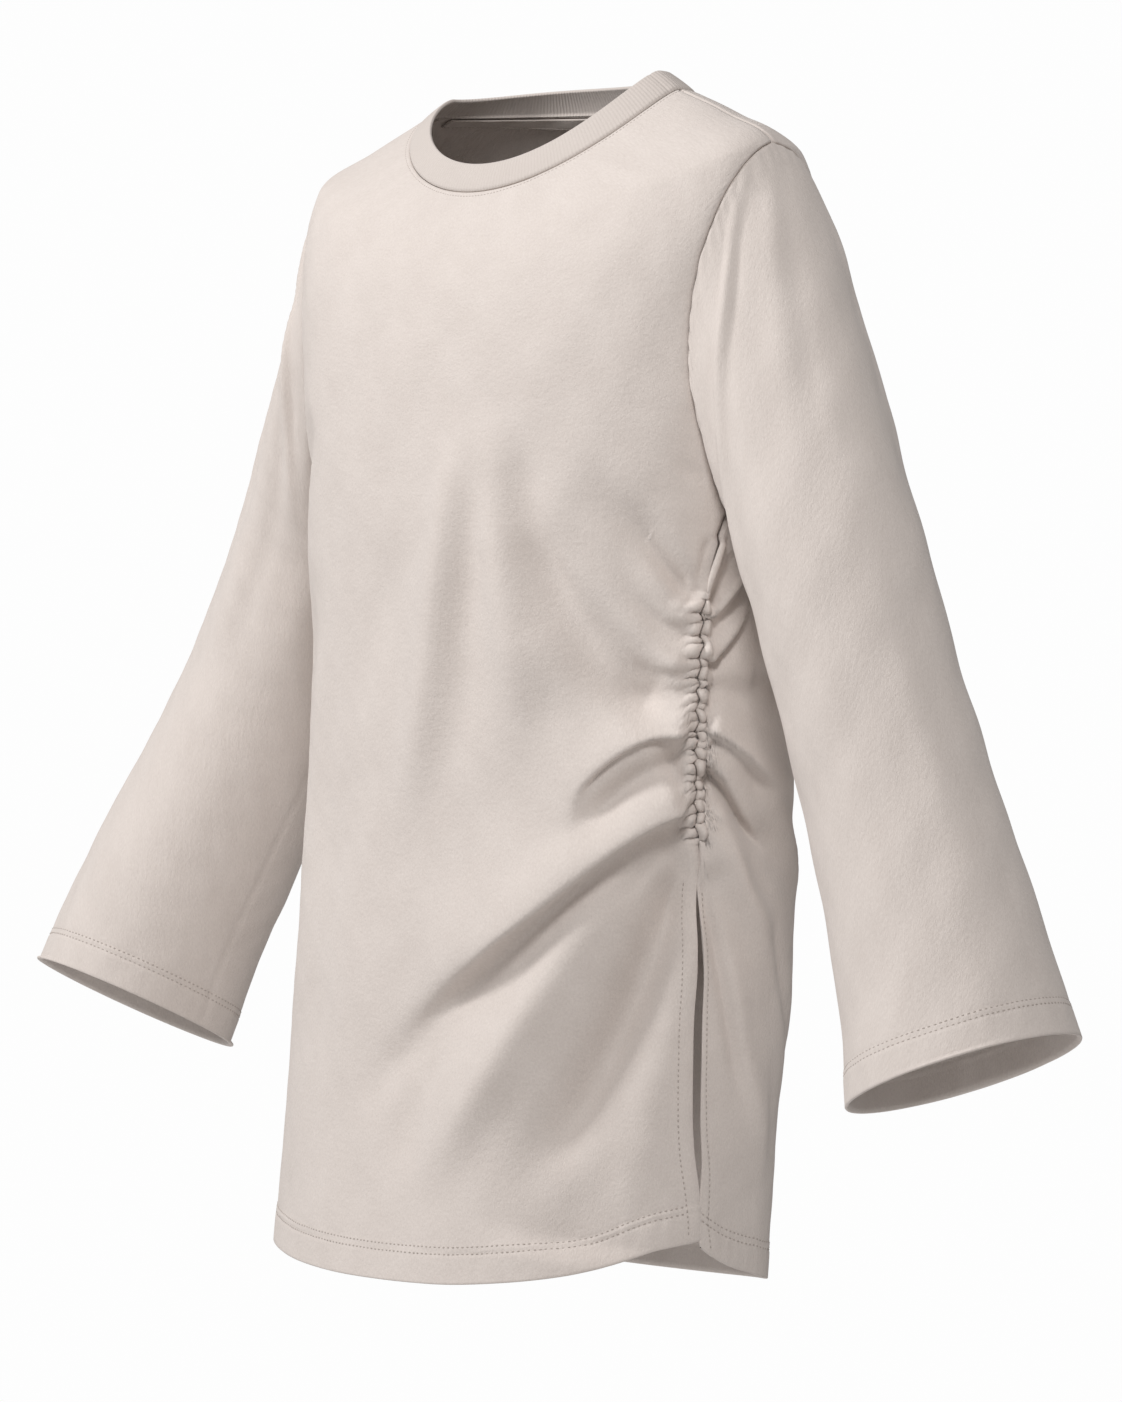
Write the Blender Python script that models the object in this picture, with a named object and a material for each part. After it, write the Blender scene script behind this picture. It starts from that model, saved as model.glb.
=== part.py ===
"""Long crew-neck sweatshirt with wide set-in sleeves and a gathered left side seam over a slit.

Metres, +Z up, the front of the garment faces -Y, the wearer's left is +X.
z = 0 is the neck end of the shoulder seam, x = y = 0 is the middle of the neck.

The cloth is cut and sewn as in the real garment: a front and a back panel, two sleeves,
a ribbed neckband and a narrow tape inside the back neck. Front and back lie on one body
form given by rings from the hem to the neck; every seam is a curve on that form.
"""
import bpy
import math
import numpy as np

for _ob in list(bpy.data.objects):
    bpy.data.objects.remove(_ob, do_unlink=True)

# ---------------------------------------------------------------- named sizes (metres)
WALL = 0.0018             # thickness of the brushed jersey
BAND_WALL = 0.0024        # neckband, two layers of rib
TAPE_WALL = 0.0010        # tape inside the back neck
TAPE_WIDTH = 0.0100
SEAM_GAP = 0.0003         # between two sewn pieces
TAPE_GAP = 0.0005         # between the tape and the back panel
METRE_PER_DEG = 0.0029    # mean arc of the body form for one degree of turn

# rows and columns of the cloth
ROWS_SIDE = 18            # hem to underarm
ROWS_ARM = 12             # underarm to shoulder
ROWS_SHOULDER = 3         # along one shoulder seam
COLS_FRONT = 22           # across the front
COLS_BACK = 17            # across the back
ROWS_CAP = 6              # sleeve, armhole to upper arm
ROWS_TUBE = 9             # sleeve, upper arm to cuff
ROWS_BAND = 3

# ---------------------------------------------------------------- body form
# one ring per row, hem (0) to neck seam (10); z at the front, left, back and right,
# half widths to the left and right, depths to the front and back, squareness
#  ring   z_front  z_left  z_back  z_right  w_left  w_right d_front d_back  square
RINGS = np.array([
    [0.0, -0.7670, -0.7650, -0.7750, -0.7700, 0.179, 0.208, 0.1500, 0.062, 2.25],
    [1.0, -0.6700, -0.6700, -0.6700, -0.6700, 0.185, 0.204, 0.1360, 0.070, 2.25],
    [2.0, -0.5600, -0.5600, -0.5600, -0.5600, 0.196, 0.200, 0.1240, 0.080, 2.25],
    [3.0, -0.4500, -0.4500, -0.4500, -0.4500, 0.195, 0.198, 0.1160, 0.084, 2.25],
    [4.0, -0.3500, -0.3500, -0.3500, -0.3500, 0.194, 0.190, 0.1150, 0.090, 2.30],
    [5.0, -0.2700, -0.2680, -0.2700, -0.2680, 0.196, 0.190, 0.1160, 0.098, 2.35],
    [6.0, -0.1900, -0.1750, -0.1800, -0.1750, 0.201, 0.195, 0.1130, 0.103, 2.40],
    [7.0, -0.1300, -0.0920, -0.1100, -0.0920, 0.206, 0.201, 0.1040, 0.103, 2.40],
    [8.0, -0.0960, -0.0400, -0.0600, -0.0480, 0.197, 0.195, 0.0910, 0.092, 2.35],
    [9.0, -0.0780, -0.0170, -0.0280, -0.0270, 0.155, 0.154, 0.0820, 0.076, 2.20],
    [10.0, -0.0646, 0.0000, -0.0080, -0.0070, 0.114, 0.111, 0.0755, 0.060, 2.05],
])

# inner (top) edge of the neckband, same columns
# how fast the height changes from front to side at each ring (2: evenly round)
FALL = np.array([2.0] * 8 + [1.90, 1.65, 1.40])
BAND_FALL = 1.40
BAND_TOP = np.array([11.0, -0.0470, 0.0120, 0.0075, 0.0020, 0.0955, 0.095, 0.0668, 0.050, 2.0])

# ---------------------------------------------------------------- seams on the form
# angle round the body (0 front, 90 left side, 180 back, 270 right side) and ring
#                 angle   ring
SIDE_LEFT = np.array([       # slit and gathered side seam, front edge, hem to underarm
    [73.0, 0.33], [71.6, 0.62], [69.2, 0.93], [67.4, 1.25], [65.4, 1.80], [65.0, 2.28],
    [65.2, 2.53], [64.2, 2.80], [64.0, 3.10], [64.6, 3.55], [65.4, 4.00], [66.4, 4.40],
    [69.0, 4.72], [72.0, 4.95]])
SLIT_LEFT_BACK = np.array([  # back edge of the slit, hem to the top of the slit
    [73.0, 0.33], [71.8, 0.62], [71.8, 0.93], [70.4, 1.25], [68.4, 1.70], [66.6, 2.20],
    [65.2, 2.53]])
SIDE_RIGHT = np.array([      # plain side seam, hem to underarm
    [-88.0, 0.05], [-88.0, 1.00], [-87.5, 2.00], [-87.0, 3.00], [-87.0, 4.00], [-87.0, 4.95]])
ARM_FRONT = np.array([       # front armhole, underarm to shoulder
    [72.0, 4.95], [68.4, 5.16], [65.0, 5.42], [61.5, 5.70], [59.2, 6.00], [58.5, 6.40],
    [59.4, 6.80], [62.0, 7.14], [66.0, 7.46], [72.0, 7.72], [80.0, 7.94], [91.0, 8.12]])
ARM_BACK = np.array([        # back armhole, underarm to shoulder
    [72.0, 4.95], [84.0, 5.00], [97.0, 5.16], [108.0, 5.46], [115.0, 5.85], [118.0, 6.30],
    [118.5, 6.75], [117.0, 7.15], [113.5, 7.50], [108.0, 7.78], [101.0, 7.98], [91.0, 8.12]])
HEM_FRONT = np.array([       # right side to slit
    [-88.0, 0.05], [-64.0, 0.10], [-41.4, 0.07], [-28.0, 0.03], [-10.0, 0.00], [11.7, 0.02],
    [27.2, 0.07], [40.9, 0.13], [53.5, 0.21], [63.2, 0.28], [73.0, 0.33]])
HEM_BACK = np.array([        # slit to right side
    [73.0, 0.33], [80.3, 0.21], [85.8, 0.14], [92.0, 0.08], [102.0, 0.03], [120.0, 0.00],
    [180.0, 0.00], [240.0, 0.02], [272.0, 0.05]])

# ---------------------------------------------------------------- folds of front and back
# a fold runs through three points of the form (angle, ring) and fades at both ends;
# height is along the surface normal (ridge +, trough -), the two widths are above and
# below the fold line, fade is the share of its length used at each end
#   name            a0     r0     a1     r1     a2     r2    height   w_above w_below fade0 fade1
FOLDS = [
    ("front_side_dip",  -9.0, 4.95, -16.0, 3.60, -22.0, 2.00, -0.0030, 0.020, 0.020, 0.35, 0.35),
    ("front_light",     10.0, 5.90,   2.5, 4.25,  -6.0, 2.45,  0.0080, 0.016, 0.016, 0.30, 0.30),
    ("front_between",   13.0, 5.60,  11.0, 4.35,   9.0, 2.90, -0.0045, 0.012, 0.012, 0.30, 0.35),
    ("front_ridge_2",   15.5, 5.80,  20.0, 4.45,  24.0, 2.80,  0.0080, 0.014, 0.014, 0.30, 0.35),
    ("front_dark",      19.5, 5.75,  29.5, 4.42,  58.0, 3.45, -0.0115, 0.015, 0.018, 0.25, 0.10),
    ("front_radial_1",  35.0, 5.40,  48.0, 4.80,  62.0, 4.28, -0.0055, 0.012, 0.012, 0.40, 0.10),
    ("front_radial_2",  33.0, 4.90,  45.0, 4.15,  61.0, 3.76,  0.0045, 0.013, 0.012, 0.40, 0.10),
    ("side_fold",       62.0, 3.34,  47.0, 3.27,  33.0, 2.72,  0.0060, 0.026, 0.009, 0.10, 0.40),
    ("side_trough",     62.0, 3.16,  46.0, 3.02,  34.0, 2.66, -0.0060, 0.009, 0.014, 0.10, 0.40),
    ("main_fold",       62.0, 2.97,  34.0, 2.44,  -4.0, 1.56,  0.0110, 0.040, 0.010, 0.08, 0.35),
    ("main_trough",     62.0, 2.74,  36.0, 2.17,  -6.0, 1.24, -0.0070, 0.012, 0.024, 0.10, 0.35),
    ("low_ridge",       52.0, 2.52,  24.0, 1.62,   4.0, 0.45,  0.0070, 0.020, 0.020, 0.25, 0.35),
    ("low_trough",      60.0, 2.60,  45.0, 1.55,  27.0, 0.50, -0.0090, 0.020, 0.020, 0.15, 0.30),
    ("left_low_fold",   63.0, 2.30,  58.0, 1.40,  52.0, 0.40,  0.0030, 0.016, 0.016, 0.30, 0.30),
    ("right_fold_1",   -30.0, 4.60, -38.0, 3.00, -44.0, 1.20,  0.0040, 0.026, 0.026, 0.35, 0.35),
    ("right_trough_1", -46.0, 4.70, -54.0, 3.20, -60.0, 1.40, -0.0045, 0.022, 0.022, 0.35, 0.35),
    ("right_arm_fold", -40.0, 5.75, -54.0, 5.30, -66.0, 4.90, -0.0050, 0.015, 0.015, 0.30, 0.20),
    ("back_pleat_1",    66.0, 3.90,  78.0, 4.28,  96.0, 4.55, -0.0060, 0.012, 0.012, 0.10, 0.35),
    ("back_pleat_2",    66.0, 3.62,  84.0, 3.62, 108.0, 3.80, -0.0055, 0.011, 0.011, 0.10, 0.40),
    ("back_pleat_3",    66.0, 3.42,  84.0, 3.18, 116.0, 2.90,  0.0065, 0.015, 0.011, 0.10, 0.40),
    ("back_pleat_4",    66.0, 3.18,  80.0, 2.86, 112.0, 2.30, -0.0065, 0.012, 0.013, 0.10, 0.40),
    ("back_pleat_5",    66.5, 2.90,  78.0, 2.42,  98.0, 1.90,  0.0070, 0.014, 0.011, 0.10, 0.40),
    ("back_pleat_6",    68.0, 2.62,  76.0, 1.95,  90.0, 1.05, -0.0065, 0.013, 0.015, 0.12, 0.30),
    ("back_low_ridge",  72.0, 2.20,  84.0, 1.40,  96.0, 0.50,  0.0045, 0.018, 0.018, 0.25, 0.30),
    ("back_centre_1",  150.0, 5.60, 154.0, 3.60, 160.0, 1.40,  0.0060, 0.028, 0.028, 0.35, 0.35),
    ("back_centre_2",  172.0, 5.80, 176.0, 4.20, 178.0, 2.20, -0.0055, 0.024, 0.024, 0.35, 0.35),
    ("back_centre_3",  205.0, 5.50, 203.0, 3.40, 199.0, 1.00,  0.0060, 0.030, 0.030, 0.35, 0.35),
    ("back_right_1",   236.0, 5.30, 234.0, 3.30, 230.0, 1.20, -0.0060, 0.026, 0.026, 0.30, 0.35),
    ("back_left_1",    122.0, 5.40, 126.0, 4.10, 138.0, 2.40, -0.0055, 0.022, 0.022, 0.30, 0.35),
    ("back_drag",      112.0, 3.10, 140.0, 2.20, 186.0, 1.30, -0.0065, 0.020, 0.024, 0.30, 0.40),
]

# ---------------------------------------------------------------- sleeves
# centre line, upper arm to cuff; radius, and the share by which the section is longer
# towards front and outside
#                    x       y       z      radius  longer
SLEEVE_LEFT = np.array([
    [0.2640, -0.0120, -0.3150, 0.0610, 0.02],
    [0.2910, -0.0130, -0.3880, 0.0605, 0.02],
    [0.3175, -0.0140, -0.4490, 0.0605, 0.02],
    [0.3420, -0.0160, -0.5100, 0.0640, 0.02],
    [0.3630, -0.0190, -0.5680, 0.0690, 0.01],
    [0.3795, -0.0245, -0.6145, 0.0745, 0.00]])
CUFF_LEFT_AXIS = (0.420, 0.000, -1.0)
SLEEVE_RIGHT = np.array([
    [-0.2615, 0.0295, -0.3080, 0.0600, 0.02],
    [-0.2910, 0.0250, -0.3850, 0.0630, 0.02],
    [-0.3150, 0.0110, -0.4450, 0.0655, 0.02],
    [-0.3395, -0.0080, -0.5080, 0.0685, 0.02],
    [-0.3620, -0.0260, -0.5680, 0.0715, 0.01],
    [-0.3785, -0.0385, -0.6190, 0.0745, 0.00]])
CUFF_RIGHT_AXIS = (-0.179, -0.460, -1.0)
TURN_OUT = 0.0060         # first strip of the sleeve beside the armhole seam
CUFF_BLEND = 0.45         # share of the sleeve over which its section turns into the cuff

# way the cloth leaves the armhole, by angle round the sleeve
# (0 shoulder, 90 front, 180 underarm, 270 back): out, front, up and reach
#              angle    out    front    up     reach
CAP_LEAVE = np.array([
    [0.0,   0.64,  0.00, -0.77, 0.220],
    [60.0,  0.30,  0.00, -0.95, 0.140],
    [120.0, 0.34,  0.03, -0.93, 0.080],
    [180.0, 0.30,  0.00, -0.95, 0.045],
    [240.0, 0.46, -0.04, -0.88, 0.100],
    [300.0, 0.64, -0.20, -0.74, 0.200],
    [360.0, 0.64,  0.00, -0.77, 0.220]])

# long soft folds of a sleeve: angle at the top and bottom, share of the length where it
# starts and ends, height and width (degrees)
#   name          side    a_top  a_end  start  end   height  width
SLEEVE_FOLDS = [
    ("cap_trough_1", "left",   62.0,  40.0, 0.05, 0.55, -0.0035, 16.0),
    ("cap_ridge_1",  "left",   88.0,  80.0, 0.06, 0.75,  0.0040, 16.0),
    ("back_line",    "left",  318.0, 330.0, 0.04, 0.62, -0.0030, 14.0),
    ("low_wave_1",   "left",   60.0,  52.0, 0.50, 1.00, -0.0022, 20.0),
    ("low_wave_2",   "left",  250.0, 240.0, 0.30, 1.00, -0.0035, 22.0),
    ("inner_wave",   "left",  150.0, 140.0, 0.20, 0.90,  0.0025, 20.0),
    ("cap_trough_1", "right",  58.0,  48.0, 0.05, 0.55, -0.0035, 16.0),
    ("cap_ridge_1",  "right",  86.0,  78.0, 0.06, 0.70,  0.0035, 16.0),
    ("low_wave_1",   "right",  74.0,  60.0, 0.45, 1.00, -0.0025, 20.0),
    ("low_wave_2",   "right", 246.0, 236.0, 0.30, 1.00, -0.0035, 22.0),
    ("back_line",    "right", 310.0, 322.0, 0.04, 0.60, -0.0032, 14.0),
]


# ---------------------------------------------------------------- helpers
def along(xs, ys, x):
    """Smooth value from a table, without overshoot."""
    x = np.clip(np.asarray(x, float), xs[0], xs[-1])
    h = np.diff(xs)
    d = np.diff(ys) / h
    m = np.zeros(len(xs))
    for i in range(1, len(xs) - 1):
        if d[i - 1] * d[i] > 0:
            w1, w2 = 2 * h[i] + h[i - 1], h[i] + 2 * h[i - 1]
            m[i] = (w1 + w2) / (w1 / d[i - 1] + w2 / d[i])
    m[0], m[-1] = d[0], d[-1]
    k = np.clip(np.searchsorted(xs, x, side="right") - 1, 0, len(xs) - 2)
    t = (x - xs[k]) / h[k]
    return ((2 * t ** 3 - 3 * t ** 2 + 1) * ys[k] + (t ** 3 - 2 * t ** 2 + t) * h[k] * m[k]
            + (3 * t ** 2 - 2 * t ** 3) * ys[k + 1] + (t ** 3 - t ** 2) * h[k] * m[k + 1])


def curve(points, count):
    """count + 1 evenly spaced points along a smooth curve through a table of points."""
    p = np.asarray(points, float)
    step = np.hypot(np.diff(p[:, 0]) * METRE_PER_DEG, np.diff(p[:, 1]) * 0.09)
    s = np.concatenate([[0.0], np.cumsum(step)])
    q = np.linspace(0.0, s[-1], count + 1)
    return np.stack([along(s, p[:, 0], q), along(s, p[:, 1], q)], -1)


def ring_form(angle, cols, fall):
    """Point of a ring given by its columns (see RINGS)."""
    zf, zl, zb, zr, wl, wr, df, db, sq = cols
    s, c = np.sin(np.radians(angle)), np.cos(np.radians(angle))
    norm = (np.abs(s) ** sq + np.abs(c) ** sq) ** (1 / sq)
    side = 0.5 * (zl + zr) + 0.5 * (zl - zr) * s
    return np.stack([np.where(s > 0, wl, wr) * s / norm,
                     -np.where(c > 0, df, db) * c / norm,
                     side + (np.where(c > 0, zf, zb) - side) * np.abs(c) ** np.where(c > 0, fall, 2.0)], -1)


def form(angle, ring):
    """Body form without folds."""
    cols = [along(RINGS[:, 0], RINGS[:, k], ring) for k in range(1, 10)]
    return ring_form(angle, cols, along(RINGS[:, 0], FALL, ring))


def arc_point(angle, ring):
    """Flat place (metres) of a point of the form, for distances between folds."""
    return np.stack([angle * METRE_PER_DEG, along(RINGS[:, 0], RINGS[:, 2], ring)], -1)


def window(t, fade0, fade1):
    a = np.clip(t / max(fade0, 1e-3), 0, 1)
    b = np.clip((1 - t) / max(fade1, 1e-3), 0, 1)
    return (a * a * (3 - 2 * a)) * (b * b * (3 - 2 * b))


def fold_height(angle, ring):
    """Sum of all folds at points of the form."""
    angle = np.asarray(angle, float)
    ring = np.asarray(ring, float)
    p = arc_point(angle, ring)
    total = np.zeros(angle.shape)
    for _, a0, r0, a1, r1, a2, r2, high, w_up, w_dn, f0, f1 in FOLDS:
        t = np.linspace(0, 1, 25)
        mid_a, mid_r = 2 * a1 - 0.5 * (a0 + a2), 2 * r1 - 0.5 * (r0 + r2)
        line = arc_point((1 - t) ** 2 * a0 + 2 * t * (1 - t) * mid_a + t * t * a2,
                         (1 - t) ** 2 * r0 + 2 * t * (1 - t) * mid_r + t * t * r2)
        best = np.full(angle.shape, 1e9)
        best_t = np.zeros(angle.shape)
        best_s = np.zeros(angle.shape)
        for i in range(len(t) - 1):
            a, b = line[i], line[i + 1]
            ab = b - a
            k = np.clip(((p - a) @ ab) / (ab @ ab), 0, 1)
            off = p - (a + k[..., None] * ab)
            d = np.hypot(off[..., 0], off[..., 1])
            # above the line is the side towards the neck (or the front for upright folds)
            nrm = np.array([-ab[1], ab[0]])
            if nrm[1] < 0:
                nrm = -nrm
            side = off @ nrm
            use = d < best
            best = np.where(use, d, best)
            best_t = np.where(use, t[i] + k * (t[i + 1] - t[i]), best_t)
            best_s = np.where(use, side, best_s)
        wide = np.where(best_s > 0, w_up, w_dn)
        total += high * window(best_t, f0, f1) * np.exp(-(best / wide) ** 2)
    # no folds within the first centimetres below the neckband and shoulder seams
    return total * np.clip((8.6 - ring) / 1.2, 0, 1)


def body(angle, ring):
    """Body form with its folds."""
    angle = np.asarray(angle, float)
    ring = np.asarray(ring, float)
    p = form(angle, ring)
    e_a, e_r = 0.5, 0.02
    r_lo, r_hi = np.clip(ring - e_r, 0, 10), np.clip(ring + e_r, 0, 10)
    da = form(angle + e_a, ring) - form(angle - e_a, ring)
    dr = form(angle, r_hi) - form(angle, r_lo)
    n = np.cross(da, dr)
    n /= np.linalg.norm(n, axis=-1, keepdims=True)
    return p + n * fold_height(angle, ring)[..., None]


def body_normal(angle, ring):
    e_a, e_r = 0.6, 0.03
    r_lo, r_hi = np.clip(ring - e_r, 0, 10), np.clip(ring + e_r, 0, 10)
    da = body(angle + e_a, ring) - body(angle - e_a, ring)
    dr = body(angle, r_hi) - body(angle, r_lo)
    n = np.cross(da, dr)
    return n / np.linalg.norm(n, axis=-1, keepdims=True)


def mirror_angle(table):
    out = np.array(table, float)
    out[:, 0] = -out[:, 0]
    return out


def panel_grid(first_edge, last_edge, hem, top):
    """Angle and ring of every knot of a panel, between its four edges.

    An edge is a side seam, an armhole and a shoulder seam, from the hem up to the neck;
    hem and top run from column 0 to the last column."""
    left = np.concatenate([first_edge[0], first_edge[1][1:], first_edge[2][1:]])
    right = np.concatenate([last_edge[0], last_edge[1][1:], last_edge[2][1:]])
    nu = len(hem)
    u = np.linspace(0, 1, nu)[:, None, None]
    v = ((left[:, 1] + right[:, 1]) / 20.0)[None, :, None]
    v = (v - v[0, 0]) / (v[0, -1] - v[0, 0])
    grid = ((1 - u) * left[None] + u * right[None] + (1 - v) * hem[:, None] + v * top[:, None]
            - (1 - u) * (1 - v) * left[0] - u * (1 - v) * right[0]
            - (1 - u) * v * left[-1] - u * v * right[-1])
    return grid                     # [column, row, (angle, ring)]


def solid(name, mid, offset, wall, wrap=False, cells=None):
    """Closed wall of the given thickness round a grid of points.

    mid[column, row] lies in the middle of the wall, offset is the outward way at each knot.
    cells are the true middles of the cells; each cell is split along the diagonal that
    passes nearer to its middle."""
    nu, nv = mid.shape[:2]
    outer = (mid + offset * (wall / 2)).reshape(-1, 3)
    inner = (mid - offset * (wall / 2)).reshape(-1, 3)
    verts = np.concatenate([outer, inner])
    k = nu * nv

    def at(i, j):
        return (i % nu) * nv + j

    faces = []
    last = nu if wrap else nu - 1
    for i in range(last):
        for j in range(nv - 1):
            a, b, c, d = at(i, j), at(i + 1, j), at(i + 1, j + 1), at(i, j + 1)
            if cells is None:
                first = (i + j) % 2
            else:
                pa, pb, pc, pd = (mid[i, j], mid[(i + 1) % nu, j],
                                  mid[(i + 1) % nu, j + 1], mid[i, j + 1])
                first = (np.linalg.norm((pa + pc) / 2 - cells[i, j])
                         < np.linalg.norm((pb + pd) / 2 - cells[i, j]))
            if first:
                faces += [(a, b, c), (a, c, d), (k + a, k + c, k + b), (k + a, k + d, k + c)]
            else:
                faces += [(a, b, d), (b, c, d), (k + a, k + d, k + b), (k + b, k + d, k + c)]
    for i in range(last):
        a, b = at(i, 0), at(i + 1, 0)
        faces += [(a, k + a, k + b), (a, k + b, b)]
        a, b = at(i, nv - 1), at(i + 1, nv - 1)
        faces += [(a, b, k + b), (a, k + b, k + a)]
    if not wrap:
        for j in range(nv - 1):
            a, b = at(0, j), at(0, j + 1)
            faces += [(a, b, k + b), (a, k + b, k + a)]
            a, b = at(nu - 1, j), at(nu - 1, j + 1)
            faces += [(a, k + a, k + b), (a, k + b, b)]
    tri = verts[np.array(faces)]
    if np.sum(np.cross(tri[:, 0], tri[:, 1]) * tri[:, 2]) < 0:      # face outward
        faces = [f[::-1] for f in faces]
    mesh = bpy.data.meshes.new(name)
    mesh.from_pydata([tuple(float(q) for q in p) for p in verts], [], faces)
    mesh.validate()
    mesh.update()
    ob = bpy.data.objects.new(name, mesh)
    bpy.context.scene.collection.objects.link(ob)
    return ob


def paint(ob, name, colour, rough):
    mat = bpy.data.materials.new(name)
    mat.use_nodes = True
    bsdf = next(n for n in mat.node_tree.nodes if n.type == "BSDF_PRINCIPLED")
    bsdf.inputs["Base Color"].default_value = (*colour, 1.0)
    bsdf.inputs["Roughness"].default_value = rough
    mat.diffuse_color = (*colour, 1.0)
    ob.data.materials.append(mat)
    return ob


def draw_in(mid, how_far, cols=(), rows=()):
    """Move the edge knots of a grid inward along the cloth."""
    out = mid.copy()
    for i, k in cols:
        d = mid[k] - mid[i]
        out[i] += d / np.linalg.norm(d, axis=-1, keepdims=True) * how_far
    base = out.copy()
    for j, k in rows:
        d = mid[:, k] - mid[:, j]
        out[:, j] = base[:, j] + d / np.linalg.norm(d, axis=-1, keepdims=True) * how_far
    return out


def unit(v):
    return v / np.linalg.norm(v, axis=-1, keepdims=True)


# ---------------------------------------------------------------- seam curves, sampled
SLIT_TOP = 2.53
side_l = curve(SIDE_LEFT, ROWS_SIDE)
side_l_back = side_l.copy()
low = side_l[:, 1] < SLIT_TOP
side_l_back[low, 0] = along(SLIT_LEFT_BACK[:, 1], SLIT_LEFT_BACK[:, 0], side_l[low, 1])
side_r = curve(SIDE_RIGHT, ROWS_SIDE)
arm_lf = curve(ARM_FRONT, ROWS_ARM)
arm_lb = curve(ARM_BACK, ROWS_ARM)
arm_rf = mirror_angle(arm_lf)
arm_rb = mirror_angle(arm_lb)
shift = np.linspace(1, 0, ROWS_ARM + 1) ** 2 * (side_r[-1, 0] - arm_rf[0, 0])
arm_rf[:, 0] += shift
arm_rb[:, 0] += shift

neck_l, neck_r = 89.6, -89.6
shoulder_l = np.stack([np.linspace(arm_lf[-1, 0], neck_l, ROWS_SHOULDER + 1),
                       np.linspace(arm_lf[-1, 1], 10.0, ROWS_SHOULDER + 1)], -1)
shoulder_r = np.stack([np.linspace(arm_rf[-1, 0], neck_r, ROWS_SHOULDER + 1),
                       np.linspace(arm_rf[-1, 1], 10.0, ROWS_SHOULDER + 1)], -1)
neck_f = np.stack([np.linspace(neck_r, neck_l, COLS_FRONT + 1),
                   np.full(COLS_FRONT + 1, 10.0)], -1)
neck_b = np.stack([np.linspace(neck_l, 360 + neck_r, COLS_BACK + 1),
                   np.full(COLS_BACK + 1, 10.0)], -1)

round_back = np.array([360.0, 0.0])
hem_front = curve(HEM_FRONT, COLS_FRONT)
hem_back = curve(HEM_BACK, COLS_BACK)

grid_front = panel_grid((side_r, arm_rf, shoulder_r), (side_l, arm_lf, shoulder_l),
                        hem_front, neck_f)
grid_back = panel_grid((side_l_back, arm_lb, shoulder_l),
                       (side_r + round_back, arm_rb + round_back, shoulder_r + round_back),
                       hem_back, neck_b)

mid_front = body(grid_front[..., 0], grid_front[..., 1])
nor_front = body_normal(grid_front[..., 0], grid_front[..., 1])
mid_back = body(grid_back[..., 0], grid_back[..., 1])
nor_back = body_normal(grid_back[..., 0], grid_back[..., 1])


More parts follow.
